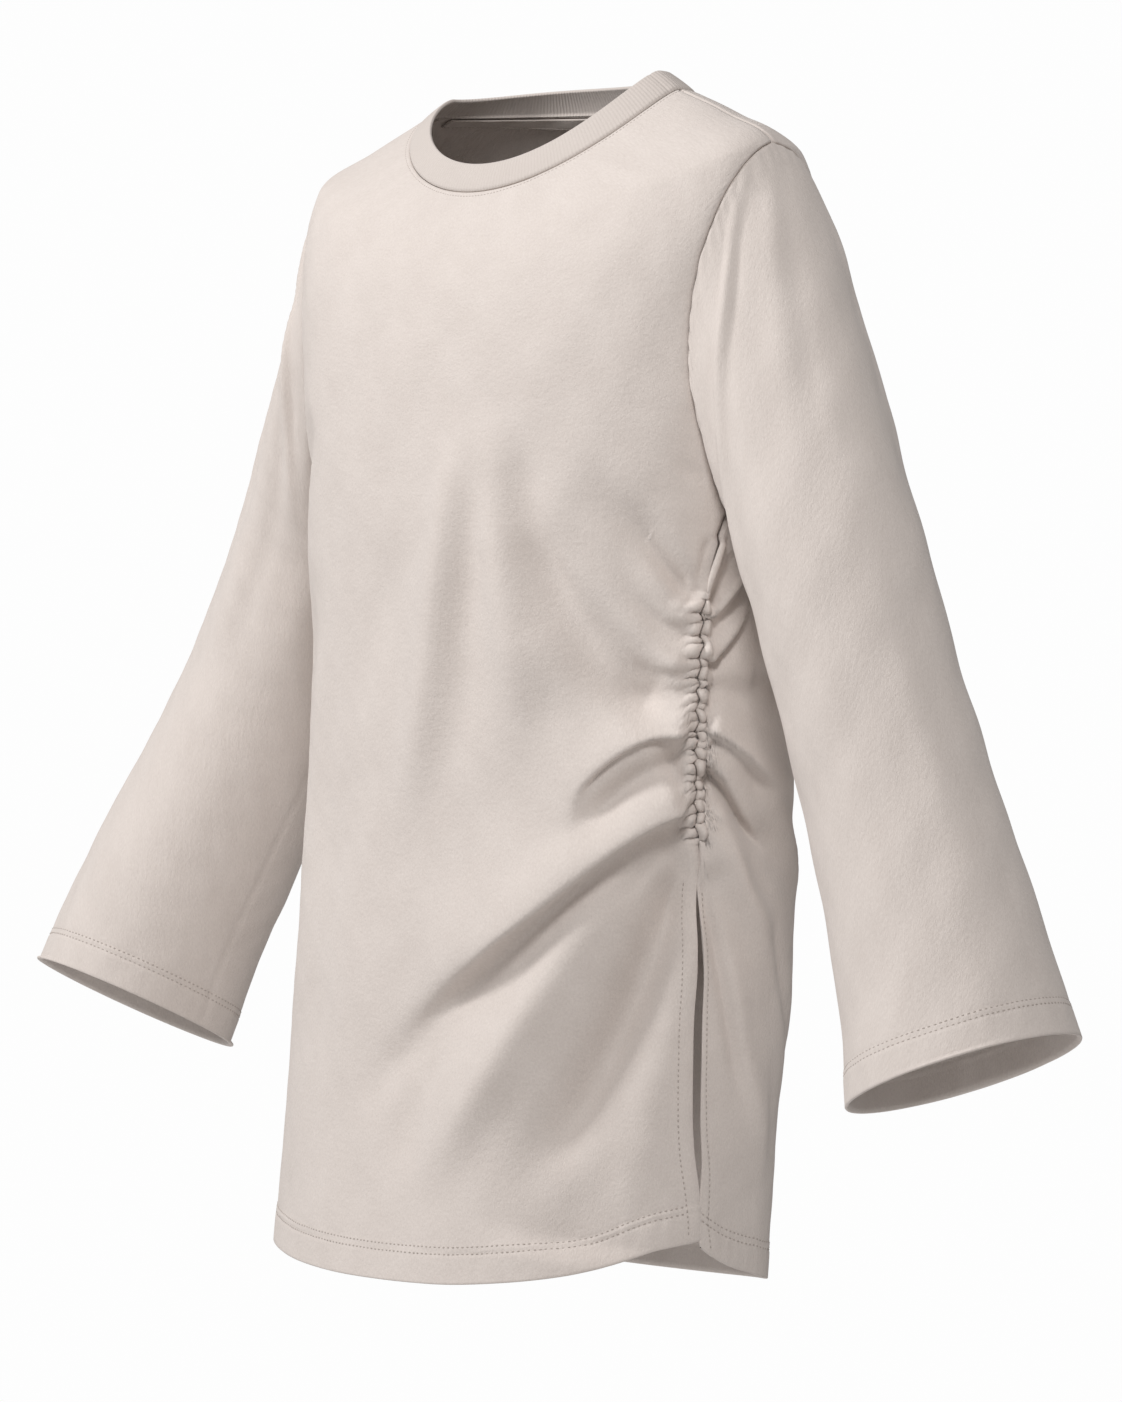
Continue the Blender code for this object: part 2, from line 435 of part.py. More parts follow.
# ---------------------------------------------------------------- sleeve surfaces
def sleeve_mid(arm_front, arm_back, table, cuff_axis, side):
    """Middle surface of a sleeve: one row per ring, starting on the armhole seam.

    Knots go round from the shoulder over the front and the underarm to the back."""
    front = body(arm_front[:, 0], arm_front[:, 1])[::-1]      # shoulder to underarm
    back = body(arm_back[:, 0], arm_back[:, 1])               # underarm to shoulder
    start = np.concatenate([front, back[1:-1]])
    count = len(start)
    half = len(front) - 1
    phi = np.concatenate([np.linspace(0, 180, half + 1),
                          np.linspace(180, 360, count - half + 1)[1:-1]])

    s_tab = np.concatenate([[0], np.cumsum(np.linalg.norm(np.diff(table[:, :3], axis=0), axis=1))])
    s_tab /= s_tab[-1]

    def tube(s):
        c = np.stack([along(s_tab, table[:, k], s) for k in range(3)])
        e = 0.02
        ax = unit(np.stack([along(s_tab, table[:, k], min(s + e, 1)) for k in range(3)])
                  - np.stack([along(s_tab, table[:, k], max(s - e, 0)) for k in range(3)]))
        turn = np.clip((s - (1 - CUFF_BLEND)) / CUFF_BLEND, 0, 1)
        turn = turn * turn * (3 - 2 * turn)
        ax = unit((1 - turn) * ax + turn * unit(np.array(cuff_axis)))
        e1 = np.array([side, 0.0, 0.0])
        e1 = unit(e1 - ax * (e1 @ ax))
        e2 = np.cross(ax, e1)
        if e2[1] > 0:
            e2 = -e2
        rad = along(s_tab, table[:, 3], s) * (1 + along(s_tab, table[:, 4], s)
                                              * np.cos(np.radians(2 * (phi - 45))))
        f = np.radians(phi)[:, None]
        return c + rad[:, None] * (np.cos(f) * e1 + np.sin(f) * e2)

    first = tube(0.0)
    after = tube(0.06)
    leave = np.stack([along(CAP_LEAVE[:, 0], CAP_LEAVE[:, k], phi) for k in (1, 2, 3)], -1)
    leave = unit(leave * np.array([side, -1.0, 1.0]))
    leave = unit(leave + 0.7 * unit(first - start))
    reach = along(CAP_LEAVE[:, 0], CAP_LEAVE[:, 4], phi)[:, None]
    arrive = unit(after - first)
    # next to the underarm the cloth first turns away from the body
    n_front = body_normal(arm_front[:, 0], arm_front[:, 1])[::-1]
    n_back = body_normal(arm_back[:, 0], arm_back[:, 1])
    away = np.concatenate([n_front, n_back[1:-1]])
    tuck = np.clip(1.5 - np.abs(phi - 180) / 42.0, 0, 1)[:, None]
    rows = [start]
    start = start + unit((1 - tuck) * leave + tuck * away) * TURN_OUT
    for t in np.linspace(0, 1, ROWS_CAP + 1)[:-1]:
        h00, h10 = 2 * t ** 3 - 3 * t ** 2 + 1, t ** 3 - 2 * t ** 2 + t
        h01, h11 = 3 * t ** 2 - 2 * t ** 3, t ** 3 - t ** 2
        rows.append(h00 * start + h10 * leave * reach + h01 * first + h11 * arrive * reach)
    for s in np.linspace(0, 1, ROWS_TUBE + 1):
        rows.append(tube(s))
    mid = np.stack(rows, 1)                       # [round, row, xyz]

    def grid_normal(g):
        d_round = np.roll(g, -1, 0) - np.roll(g, 1, 0)
        d_row = np.gradient(g, axis=1)
        n = np.cross(d_row, d_round)
        n = unit(n)
        centre = g.mean(0, keepdims=True)
        if np.mean(np.sum(n * (g - centre), -1)) < 0:
            n = -n
        return n

    n = grid_normal(mid)
    length = np.linspace(0, 1, mid.shape[1])[None, :]
    which = "left" if side > 0 else "right"
    push = np.zeros(mid.shape[:2])
    for _, of_side, a_top, a_end, start_s, end_s, high, wide in SLEEVE_FOLDS:
        if of_side != which:
            continue
        t = np.clip((length - start_s) / (end_s - start_s), 0, 1)
        a = a_top + (a_end - a_top) * t
        d = (phi[:, None] - a + 180) % 360 - 180
        ends = window((length - start_s) / (end_s - start_s), 0.3, 0.3 if end_s < 1 else 0.0)
        inside = (length >= start_s) & (length <= end_s)
        push += high * np.exp(-(d / wide) ** 2) * np.where(inside, ends, 0)
    mid = mid + n * push[..., None]
    return mid, grid_normal(mid)


mid_sl, nor_sl = sleeve_mid(arm_lf, arm_lb, SLEEVE_LEFT, CUFF_LEFT_AXIS, 1.0)
mid_sr, nor_sr = sleeve_mid(arm_rf, arm_rb, SLEEVE_RIGHT, CUFF_RIGHT_AXIS, -1.0)

# ---------------------------------------------------------------- neckband surface
band_angle = np.concatenate([neck_f[:, 0], neck_b[1:-1, 0]])
low_ring = body(band_angle, np.full(len(band_angle), 10.0))
top_ring = ring_form(band_angle, BAND_TOP[1:], BAND_FALL)
band_rows = []
for t in np.linspace(0, 1, ROWS_BAND + 1):
    p = (1 - t) * low_ring + t * top_ring
    away = unit(p * np.array([1.0, 1.0, 0.0]))
    band_rows.append(p + away * 0.0008 * 4 * t * (1 - t))
mid_band = np.stack(band_rows, 1)
d_round = np.roll(mid_band, -1, 0) - np.roll(mid_band, 1, 0)
d_row = np.gradient(mid_band, axis=1)
nor_band = unit(np.cross(d_round, d_row))


# ---------------------------------------------------------------- shared offsets at seams
def shared(a, b):
    """Common offset of two pieces meeting at an angle, so that their walls meet edge to edge."""
    m = unit(a + b)
    return m / np.clip(np.sum(m * a, -1, keepdims=True), 0.72, 1.0)


off_front, off_back = nor_front.copy(), nor_back.copy()
off_sl, off_sr, off_band = nor_sl.copy(), nor_sr.copy(), nor_band.copy()
half = ROWS_ARM
# left armhole: front panel is its last column, back panel its first column
for off, mine, panel_col, rows in (
        (off_front, -1, "front_left", range(ROWS_ARM + 1)),
        (off_back, 0, "back_left", range(ROWS_ARM + 1)),
        (off_front, 0, "front_right", range(ROWS_ARM + 1)),
        (off_back, -1, "back_right", range(ROWS_ARM + 1))):
    sleeve_off = off_sl if "left" in panel_col else off_sr
    sleeve_nor = nor_sl if "left" in panel_col else nor_sr
    n_panel = nor_front if "front" in panel_col else nor_back
    count = len(sleeve_nor)
    for r in rows:
        j = (half - r) if "front" in panel_col else (half + r) % count
        m = shared(n_panel[mine, ROWS_SIDE + r], sleeve_nor[j, 0])
        off[mine, ROWS_SIDE + r] = m
        sleeve_off[j, 0] = m
# neck seam: band knots 0..COLS_FRONT lie on the front, the rest on the back
for i in range(COLS_FRONT + 1):
    m = shared(nor_front[i, -1], nor_band[i, 0])
    off_front[i, -1] = m
    off_band[i, 0] = m
for i in range(COLS_BACK + 1):
    j = (COLS_FRONT + i) % len(band_angle)
    m = shared(nor_back[i, -1], nor_band[j, 0])
    off_back[i, -1] = m
    off_band[j, 0] = m

# ---------------------------------------------------------------- the pieces
IN = SEAM_GAP * 0.62
def cell_points(grid):
    c = (grid[:-1, :-1] + grid[1:, :-1] + grid[1:, 1:] + grid[:-1, 1:]) / 4
    return body(c[..., 0], c[..., 1])


edges_f = draw_in(mid_front, IN, cols=((0, 1), (-1, -2)), rows=((-1, -2),))
edges_b = draw_in(mid_back, IN, cols=((0, 1), (-1, -2)), rows=((-1, -2),))
solid("front", edges_f, off_front, WALL, cells=cell_points(grid_front))
solid("back", edges_b, off_back, WALL, cells=cell_points(grid_back))
solid("sleeve_left", draw_in(mid_sl, 2 * IN, rows=((0, 1),)), off_sl, WALL, wrap=True)
solid("sleeve_right", draw_in(mid_sr, 2 * IN, rows=((0, 1),)), off_sr, WALL, wrap=True)
solid("neckband", draw_in(mid_band, IN, rows=((0, 1),)), off_band, BAND_WALL, wrap=True)

# tape inside the back neck, from shoulder to shoulder just under the seam
inset = (WALL + TAPE_WALL) / 2 + TAPE_GAP
tape_cols = mid_back[1:-1]
tape_nor = nor_back[1:-1]
way = unit(tape_cols[:, -2] - tape_cols[:, -1])
tape_mid = np.stack([tape_cols[:, -1] + way * (0.0020 + TAPE_WIDTH * k) for k in (1.0, 0.5, 0.0)], 1)
tape_off = np.repeat(tape_nor[:, -1][:, None], 3, 1)
solid("neck_tape", tape_mid - tape_off * inset, tape_off, TAPE_WALL)

CLOTH = (0.66, 0.60, 0.55)
for ob in list(bpy.data.objects):
    if ob.name == "neckband":
        paint(ob, "rib_" + ob.name, (0.64, 0.58, 0.53), 0.92)
    elif ob.name == "neck_tape":
        paint(ob, "tape_" + ob.name, (0.60, 0.545, 0.495), 0.88)
    else:
        paint(ob, "jersey_" + ob.name, CLOTH, 0.95)
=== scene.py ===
"""Long crew-neck sweatshirt with wide set-in sleeves and a gathered left side over a slit.

Metres, +Z up, the front faces -Y, the wearer's left is +X, z = 0 at the neck end of the
shoulder seams. The cloth lies on the body form and sleeve lines of the CAD pieces, at a much
finer step, with its folds, gathers, seams, turned hems and stitches.
"""
import bpy
import math
import numpy as np
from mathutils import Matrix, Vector


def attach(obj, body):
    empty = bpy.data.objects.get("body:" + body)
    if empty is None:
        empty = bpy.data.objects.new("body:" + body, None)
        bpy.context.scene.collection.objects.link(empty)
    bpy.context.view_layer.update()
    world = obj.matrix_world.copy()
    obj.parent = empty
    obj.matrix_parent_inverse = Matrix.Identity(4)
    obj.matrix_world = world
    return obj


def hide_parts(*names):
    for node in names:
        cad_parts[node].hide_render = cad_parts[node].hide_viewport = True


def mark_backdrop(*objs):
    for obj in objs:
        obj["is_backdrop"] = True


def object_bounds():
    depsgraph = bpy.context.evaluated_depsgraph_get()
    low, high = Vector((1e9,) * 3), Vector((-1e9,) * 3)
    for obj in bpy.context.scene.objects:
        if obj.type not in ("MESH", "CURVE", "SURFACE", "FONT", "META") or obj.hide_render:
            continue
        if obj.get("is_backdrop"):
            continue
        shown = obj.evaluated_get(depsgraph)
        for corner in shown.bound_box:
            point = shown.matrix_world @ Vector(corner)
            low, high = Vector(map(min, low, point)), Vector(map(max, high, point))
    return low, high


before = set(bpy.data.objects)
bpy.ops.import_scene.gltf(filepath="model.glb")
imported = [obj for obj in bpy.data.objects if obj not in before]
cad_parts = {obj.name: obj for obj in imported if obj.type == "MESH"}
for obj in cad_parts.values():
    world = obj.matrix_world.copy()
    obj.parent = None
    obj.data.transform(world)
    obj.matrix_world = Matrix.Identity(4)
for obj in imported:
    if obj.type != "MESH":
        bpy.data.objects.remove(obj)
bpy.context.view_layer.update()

RNG = np.random.default_rng(20)

# ---------------------------------------------------------------- named sizes (metres)
# ---------------------------------------------------------------- named sizes (metres)
WALL = 0.0018             # thickness of the brushed jersey
BAND_WALL = 0.0024        # neckband, two layers of rib
TAPE_WALL = 0.0010        # tape inside the back neck
TAPE_WIDTH = 0.0100
SEAM_GAP = 0.0003         # between two sewn pieces
TAPE_GAP = 0.0005         # between the tape and the back panel
METRE_PER_DEG = 0.0029    # mean arc of the body form for one degree of turn
ROWS_CAP, ROWS_TUBE = 6, 9  # rows of the plain sleeve, which its long folds are given by

# ---------------------------------------------------------------- body form
# one ring per row, hem (0) to neck seam (10); z at the front, left, back and right,
# half widths to the left and right, depths to the front and back, squareness
#  ring   z_front  z_left  z_back  z_right  w_left  w_right d_front d_back  square
RINGS = np.array([
    [0.0, -0.7670, -0.7650, -0.7750, -0.7700, 0.179, 0.208, 0.1500, 0.062, 2.25],
    [1.0, -0.6700, -0.6700, -0.6700, -0.6700, 0.185, 0.204, 0.1360, 0.070, 2.25],
    [2.0, -0.5600, -0.5600, -0.5600, -0.5600, 0.196, 0.200, 0.1240, 0.080, 2.25],
    [3.0, -0.4500, -0.4500, -0.4500, -0.4500, 0.195, 0.198, 0.1160, 0.084, 2.25],
    [4.0, -0.3500, -0.3500, -0.3500, -0.3500, 0.194, 0.190, 0.1150, 0.090, 2.30],
    [5.0, -0.2700, -0.2680, -0.2700, -0.2680, 0.196, 0.190, 0.1160, 0.098, 2.35],
    [6.0, -0.1900, -0.1750, -0.1800, -0.1750, 0.201, 0.195, 0.1130, 0.103, 2.40],
    [7.0, -0.1300, -0.0920, -0.1100, -0.0920, 0.206, 0.201, 0.1040, 0.103, 2.40],
    [8.0, -0.0960, -0.0400, -0.0600, -0.0480, 0.197, 0.195, 0.0910, 0.092, 2.35],
    [9.0, -0.0780, -0.0170, -0.0280, -0.0270, 0.155, 0.154, 0.0820, 0.076, 2.20],
    [10.0, -0.0646, 0.0000, -0.0080, -0.0070, 0.114, 0.111, 0.0755, 0.060, 2.05],
])

# inner (top) edge of the neckband, same columns
BAND_TOP = np.array([11.0, -0.0470, 0.0120, 0.0075, 0.0020, 0.0955, 0.095, 0.0668, 0.050, 2.0])

# how quickly the height falls from the side to the front, by ring (2 is a plain ellipse)
FALL = np.array([2.0, 2.0, 2.0, 2.0, 2.0, 2.0, 2.0, 2.0, 1.90, 1.65, 1.40])
BAND_FALL = 1.40

# ---------------------------------------------------------------- seams on the form
# angle round the body (0 front, 90 left side, 180 back, 270 right side) and ring
#                 angle   ring
SIDE_LEFT = np.array([       # slit and gathered side seam, front edge, hem to underarm
    [73.0, 0.33], [71.6, 0.62], [69.2, 0.93], [67.4, 1.25], [65.4, 1.80], [65.0, 2.28],
    [65.2, 2.53], [64.2, 2.80], [64.0, 3.10], [64.6, 3.55], [65.4, 4.00], [66.4, 4.40],
    [69.0, 4.72], [72.0, 4.95]])
SLIT_LEFT_BACK = np.array([  # back edge of the slit, hem to the top of the slit
    [73.0, 0.33], [71.8, 0.62], [71.8, 0.93], [70.4, 1.25], [68.4, 1.70], [66.6, 2.20],
    [65.2, 2.53]])
SIDE_RIGHT = np.array([      # plain side seam, hem to underarm
    [-88.0, 0.05], [-88.0, 1.00], [-87.5, 2.00], [-87.0, 3.00], [-87.0, 4.00], [-87.0, 4.95]])
ARM_FRONT = np.array([       # front armhole, underarm to shoulder
    [72.0, 4.95], [68.4, 5.16], [65.0, 5.42], [61.5, 5.70], [59.2, 6.00], [58.5, 6.40],
    [59.4, 6.80], [62.0, 7.14], [66.0, 7.46], [72.0, 7.72], [80.0, 7.94], [91.0, 8.12]])
ARM_BACK = np.array([        # back armhole, underarm to shoulder
    [72.0, 4.95], [84.0, 5.00], [97.0, 5.16], [108.0, 5.46], [115.0, 5.85], [118.0, 6.30],
    [118.5, 6.75], [117.0, 7.15], [113.5, 7.50], [108.0, 7.78], [101.0, 7.98], [91.0, 8.12]])
HEM_FRONT = np.array([       # right side to slit
    [-88.0, 0.05], [-64.0, 0.10], [-41.4, 0.07], [-28.0, 0.03], [-10.0, 0.00], [11.7, 0.02],
    [27.2, 0.07], [40.9, 0.13], [53.5, 0.21], [63.2, 0.28], [73.0, 0.33]])
HEM_BACK = np.array([        # slit to right side
    [73.0, 0.33], [80.3, 0.21], [85.8, 0.14], [92.0, 0.08], [102.0, 0.03], [120.0, 0.00],
    [180.0, 0.00], [240.0, 0.02], [272.0, 0.05]])

# ---------------------------------------------------------------- folds of front and back
# a fold runs through three points of the form (angle, ring) and fades at both ends;
# height is along the surface normal (ridge +, trough -), the two widths are above and
# below the fold line, fade is the share of its length used at each end
#   name            a0     r0     a1     r1     a2     r2    height   w_above w_below fade0 fade1
FOLDS = [
    ("front_side_dip",  -9.0, 4.95, -16.0, 3.60, -22.0, 2.00, -0.0030, 0.020, 0.020, 0.35, 0.35),
    ("front_light",     10.0, 5.90,   2.5, 4.25,  -6.0, 2.45,  0.0080, 0.016, 0.016, 0.30, 0.30),
    ("front_between",   13.0, 5.60,  11.0, 4.35,   9.0, 2.90, -0.0032, 0.012, 0.012, 0.30, 0.35),
    ("front_ridge_2",   15.5, 5.80,  20.0, 4.45,  24.0, 2.80,  0.0080, 0.014, 0.014, 0.30, 0.35),
    ("front_dark",      19.5, 5.75,  29.5, 4.42,  58.0, 3.45, -0.0115, 0.015, 0.018, 0.42, 0.10),
    ("front_radial_1",  35.0, 5.40,  48.0, 4.80,  62.0, 4.28, -0.0055, 0.012, 0.012, 0.40, 0.10),
    ("front_radial_2",  33.0, 4.90,  45.0, 4.15,  61.0, 3.76,  0.0032, 0.013, 0.012, 0.40, 0.10),
    ("side_fold",       62.0, 3.34,  47.0, 3.27,  33.0, 2.72,  0.0060, 0.026, 0.009, 0.10, 0.40),
    ("side_trough",     62.0, 3.16,  46.0, 3.02,  34.0, 2.66, -0.0060, 0.009, 0.014, 0.10, 0.40),
    ("main_fold",       62.0, 2.97,  34.0, 2.44,  -4.0, 1.56,  0.0110, 0.040, 0.010, 0.08, 0.35),
    ("main_trough",     62.0, 2.74,  36.0, 2.17,  -6.0, 1.24, -0.0070, 0.012, 0.024, 0.10, 0.35),
    ("low_ridge",       52.0, 2.52,  24.0, 1.62,   4.0, 0.45,  0.0070, 0.020, 0.020, 0.25, 0.35),
    ("low_trough",      60.0, 2.60,  45.0, 1.55,  27.0, 0.50, -0.0090, 0.020, 0.020, 0.15, 0.30),
    ("left_low_fold",   63.0, 2.30,  58.0, 1.40,  52.0, 0.40,  0.0030, 0.016, 0.016, 0.30, 0.30),
    ("right_fold_1",   -30.0, 4.60, -38.0, 3.00, -44.0, 1.20,  0.0040, 0.026, 0.026, 0.35, 0.35),
    ("right_trough_1", -46.0, 4.70, -54.0, 3.20, -60.0, 1.40, -0.0045, 0.022, 0.022, 0.35, 0.35),
    ("right_arm_fold", -40.0, 5.75, -54.0, 5.30, -66.0, 4.90, -0.0050, 0.015, 0.015, 0.30, 0.20),
    ("back_pleat_1",    66.0, 3.90,  78.0, 4.28,  96.0, 4.55, -0.0060, 0.012, 0.012, 0.10, 0.35),
    ("back_pleat_2",    66.0, 3.62,  84.0, 3.62, 108.0, 3.80, -0.0055, 0.011, 0.011, 0.10, 0.40),
    ("back_pleat_3",    66.0, 3.42,  84.0, 3.18, 116.0, 2.90,  0.0065, 0.015, 0.011, 0.10, 0.40),
    ("back_pleat_4",    66.0, 3.18,  80.0, 2.86, 112.0, 2.30, -0.0065, 0.012, 0.013, 0.10, 0.40),
    ("back_pleat_5",    66.5, 2.90,  78.0, 2.42,  98.0, 1.90,  0.0070, 0.014, 0.011, 0.10, 0.40),
    ("back_pleat_6",    68.0, 2.62,  76.0, 1.95,  90.0, 1.05, -0.0065, 0.013, 0.015, 0.12, 0.30),
    ("back_low_ridge",  72.0, 2.20,  84.0, 1.40,  96.0, 0.50,  0.0045, 0.018, 0.018, 0.25, 0.30),
    ("back_centre_1",  150.0, 5.60, 154.0, 3.60, 160.0, 1.40,  0.0060, 0.028, 0.028, 0.35, 0.35),
    ("back_centre_2",  172.0, 5.80, 176.0, 4.20, 178.0, 2.20, -0.0055, 0.024, 0.024, 0.35, 0.35),
    ("back_centre_3",  205.0, 5.50, 203.0, 3.40, 199.0, 1.00,  0.0060, 0.030, 0.030, 0.35, 0.35),
    ("back_right_1",   236.0, 5.30, 234.0, 3.30, 230.0, 1.20, -0.0060, 0.026, 0.026, 0.30, 0.35),
    ("back_left_1",    122.0, 5.40, 126.0, 4.10, 138.0, 2.40, -0.0055, 0.022, 0.022, 0.30, 0.35),
    ("back_drag",      112.0, 3.10, 140.0, 2.20, 186.0, 1.30, -0.0065, 0.020, 0.024, 0.30, 0.40),
]

# ---------------------------------------------------------------- sleeves
# centre line, upper arm to cuff; radius, and the share by which the section is longer
# towards front and outside
#                    x       y       z      radius  longer
SLEEVE_LEFT = np.array([
    [0.2640, -0.0120, -0.3150, 0.0610, 0.02],
    [0.2910, -0.0130, -0.3880, 0.0605, 0.02],
    [0.3175, -0.0140, -0.4490, 0.0605, 0.02],
    [0.3420, -0.0160, -0.5100, 0.0640, 0.02],
    [0.3630, -0.0190, -0.5680, 0.0690, 0.01],
    [0.3795, -0.0245, -0.6145, 0.0745, 0.00]])
CUFF_LEFT_AXIS = (0.420, 0.000, -1.0)
SLEEVE_RIGHT = np.array([
    [-0.2615, 0.0295, -0.3080, 0.0600, 0.02],
    [-0.2910, 0.0250, -0.3850, 0.0630, 0.02],
    [-0.3150, 0.0110, -0.4450, 0.0655, 0.02],
    [-0.3395, -0.0080, -0.5080, 0.0685, 0.02],
    [-0.3620, -0.0260, -0.5680, 0.0715, 0.01],
    [-0.3785, -0.0385, -0.6190, 0.0745, 0.00]])
CUFF_RIGHT_AXIS = (-0.179, -0.460, -1.0)
TURN_OUT = 0.0060         # first strip of the sleeve beside the armhole seam
CUFF_BLEND = 0.45         # share of the sleeve over which its section turns into the cuff

# way the cloth leaves the armhole, by angle round the sleeve
# (0 shoulder, 90 front, 180 underarm, 270 back): out, front, up and reach
#              angle    out    front    up     reach
CAP_LEAVE = np.array([
    [0.0,   0.64,  0.00, -0.77, 0.220],
    [60.0,  0.30,  0.00, -0.95, 0.140],
    [120.0, 0.34,  0.03, -0.93, 0.080],
    [180.0, 0.30,  0.00, -0.95, 0.045],
    [240.0, 0.46, -0.04, -0.88, 0.100],
    [300.0, 0.64, -0.20, -0.74, 0.200],
    [360.0, 0.64,  0.00, -0.77, 0.220]])

# long soft folds of a sleeve: angle at the top and bottom, share of the length where it
# starts and ends, height and width (degrees)
#   name          side    a_top  a_end  start  end   height  width
SLEEVE_FOLDS = [
    ("cap_trough_1", "left",   62.0,  40.0, 0.05, 0.55, -0.0012, 16.0),
    ("cap_ridge_1",  "left",   88.0,  80.0, 0.06, 0.75,  0.0014, 16.0),
    ("back_line",    "left",  318.0, 330.0, 0.04, 0.62, -0.0014, 14.0),
    ("low_wave_1",   "left",   60.0,  52.0, 0.50, 1.00, -0.0022, 20.0),
    ("low_wave_2",   "left",  250.0, 240.0, 0.30, 1.00, -0.0035, 22.0),
    ("inner_wave",   "left",  150.0, 140.0, 0.20, 0.90,  0.0025, 20.0),
    ("cap_trough_1", "right",  58.0,  48.0, 0.05, 0.55, -0.0035, 16.0),
    ("cap_ridge_1",  "right",  86.0,  78.0, 0.06, 0.70,  0.0035, 16.0),
    ("low_wave_1",   "right",  74.0,  60.0, 0.45, 1.00, -0.0025, 20.0),
    ("low_wave_2",   "right", 246.0, 236.0, 0.30, 1.00, -0.0035, 22.0),
    ("back_line",    "right", 310.0, 322.0, 0.04, 0.60, -0.0032, 14.0),
]


# ---------------------------------------------------------------- helpers
def along(xs, ys, x):
    """Smooth value from a table, without overshoot."""
    x = np.clip(np.asarray(x, float), xs[0], xs[-1])
    h = np.diff(xs)
    d = np.diff(ys) / h
    m = np.zeros(len(xs))
    for i in range(1, len(xs) - 1):
        if d[i - 1] * d[i] > 0:
            w1, w2 = 2 * h[i] + h[i - 1], h[i] + 2 * h[i - 1]
            m[i] = (w1 + w2) / (w1 / d[i - 1] + w2 / d[i])
    m[0], m[-1] = d[0], d[-1]
    k = np.clip(np.searchsorted(xs, x, side="right") - 1, 0, len(xs) - 2)
    t = (x - xs[k]) / h[k]
    return ((2 * t ** 3 - 3 * t ** 2 + 1) * ys[k] + (t ** 3 - 2 * t ** 2 + t) * h[k] * m[k]
            + (3 * t ** 2 - 2 * t ** 3) * ys[k + 1] + (t ** 3 - t ** 2) * h[k] * m[k + 1])


def curve(points, count):
    """count + 1 evenly spaced points along a smooth curve through a table of points."""
    p = np.asarray(points, float)
    step = np.hypot(np.diff(p[:, 0]) * METRE_PER_DEG, np.diff(p[:, 1]) * 0.09)
    s = np.concatenate([[0.0], np.cumsum(step)])
    q = np.linspace(0.0, s[-1], count + 1)
    return np.stack([along(s, p[:, 0], q), along(s, p[:, 1], q)], -1)


def ring_form(angle, cols, fall):
    """Point of a ring given by its columns (see RINGS)."""
    zf, zl, zb, zr, wl, wr, df, db, sq = cols
    s, c = np.sin(np.radians(angle)), np.cos(np.radians(angle))
    norm = (np.abs(s) ** sq + np.abs(c) ** sq) ** (1 / sq)
    side = 0.5 * (zl + zr) + 0.5 * (zl - zr) * s
    return np.stack([np.where(s > 0, wl, wr) * s / norm,
                     -np.where(c > 0, df, db) * c / norm,
                     side + (np.where(c > 0, zf, zb) - side)
                     * np.abs(c) ** np.where(c > 0, fall, 2.0)], -1)


def form(angle, ring):
    """Body form without folds."""
    cols = [along(RINGS[:, 0], RINGS[:, k], ring) for k in range(1, 10)]
    return ring_form(angle, cols, along(RINGS[:, 0], FALL, ring))


def arc_point(angle, ring):
    """Flat place (metres) of a point of the form, for distances between folds."""
    return np.stack([angle * METRE_PER_DEG, along(RINGS[:, 0], RINGS[:, 2], ring)], -1)


def window(t, fade0, fade1):
    a = np.clip(t / max(fade0, 1e-3), 0, 1)
    b = np.clip((1 - t) / max(fade1, 1e-3), 0, 1)
    return (a * a * (3 - 2 * a)) * (b * b * (3 - 2 * b))


def fold_height(angle, ring):
    """Sum of all folds at points of the form."""
    angle = np.asarray(angle, float)
    ring = np.asarray(ring, float)
    p = arc_point(angle, ring)
    total = np.zeros(angle.shape)
    for _, a0, r0, a1, r1, a2, r2, high, w_up, w_dn, f0, f1 in FOLDS:
        t = np.linspace(0, 1, 25)
        mid_a, mid_r = 2 * a1 - 0.5 * (a0 + a2), 2 * r1 - 0.5 * (r0 + r2)
        line = arc_point((1 - t) ** 2 * a0 + 2 * t * (1 - t) * mid_a + t * t * a2,
                         (1 - t) ** 2 * r0 + 2 * t * (1 - t) * mid_r + t * t * r2)
        best = np.full(angle.shape, 1e9)
        best_t = np.zeros(angle.shape)
        best_s = np.zeros(angle.shape)
        for i in range(len(t) - 1):
            a, b = line[i], line[i + 1]
            ab = b - a
            k = np.clip(((p - a) @ ab) / (ab @ ab), 0, 1)
            off = p - (a + k[..., None] * ab)
            d = np.hypot(off[..., 0], off[..., 1])
            # above the line is the side towards the neck (or the front for upright folds)
            nrm = np.array([-ab[1], ab[0]])
            if nrm[1] < 0:
                nrm = -nrm
            side = off @ nrm
            use = d < best
            best = np.where(use, d, best)
            best_t = np.where(use, t[i] + k * (t[i + 1] - t[i]), best_t)
            best_s = np.where(use, side, best_s)
        wide = np.where(best_s > 0, w_up, w_dn)
        total += high * window(best_t, f0, f1) * np.exp(-(best / wide) ** 2)
    # no folds within the first centimetres below the neckband and shoulder seams
    return total * np.clip((8.6 - ring) / 1.2, 0, 1)


def body(angle, ring):
    """Body form with its folds."""
    angle = np.asarray(angle, float)
    ring = np.asarray(ring, float)
    p = form(angle, ring)
    e_a, e_r = 0.5, 0.02
    r_lo, r_hi = np.clip(ring - e_r, 0, 10), np.clip(ring + e_r, 0, 10)
    da = form(angle + e_a, ring) - form(angle - e_a, ring)
    dr = form(angle, r_hi) - form(angle, r_lo)
    n = np.cross(da, dr)
    n /= np.linalg.norm(n, axis=-1, keepdims=True)
    return p + n * fold_height(angle, ring)[..., None]


def unit(v):
    return v / np.clip(np.linalg.norm(v, axis=-1, keepdims=True), 1e-12, None)


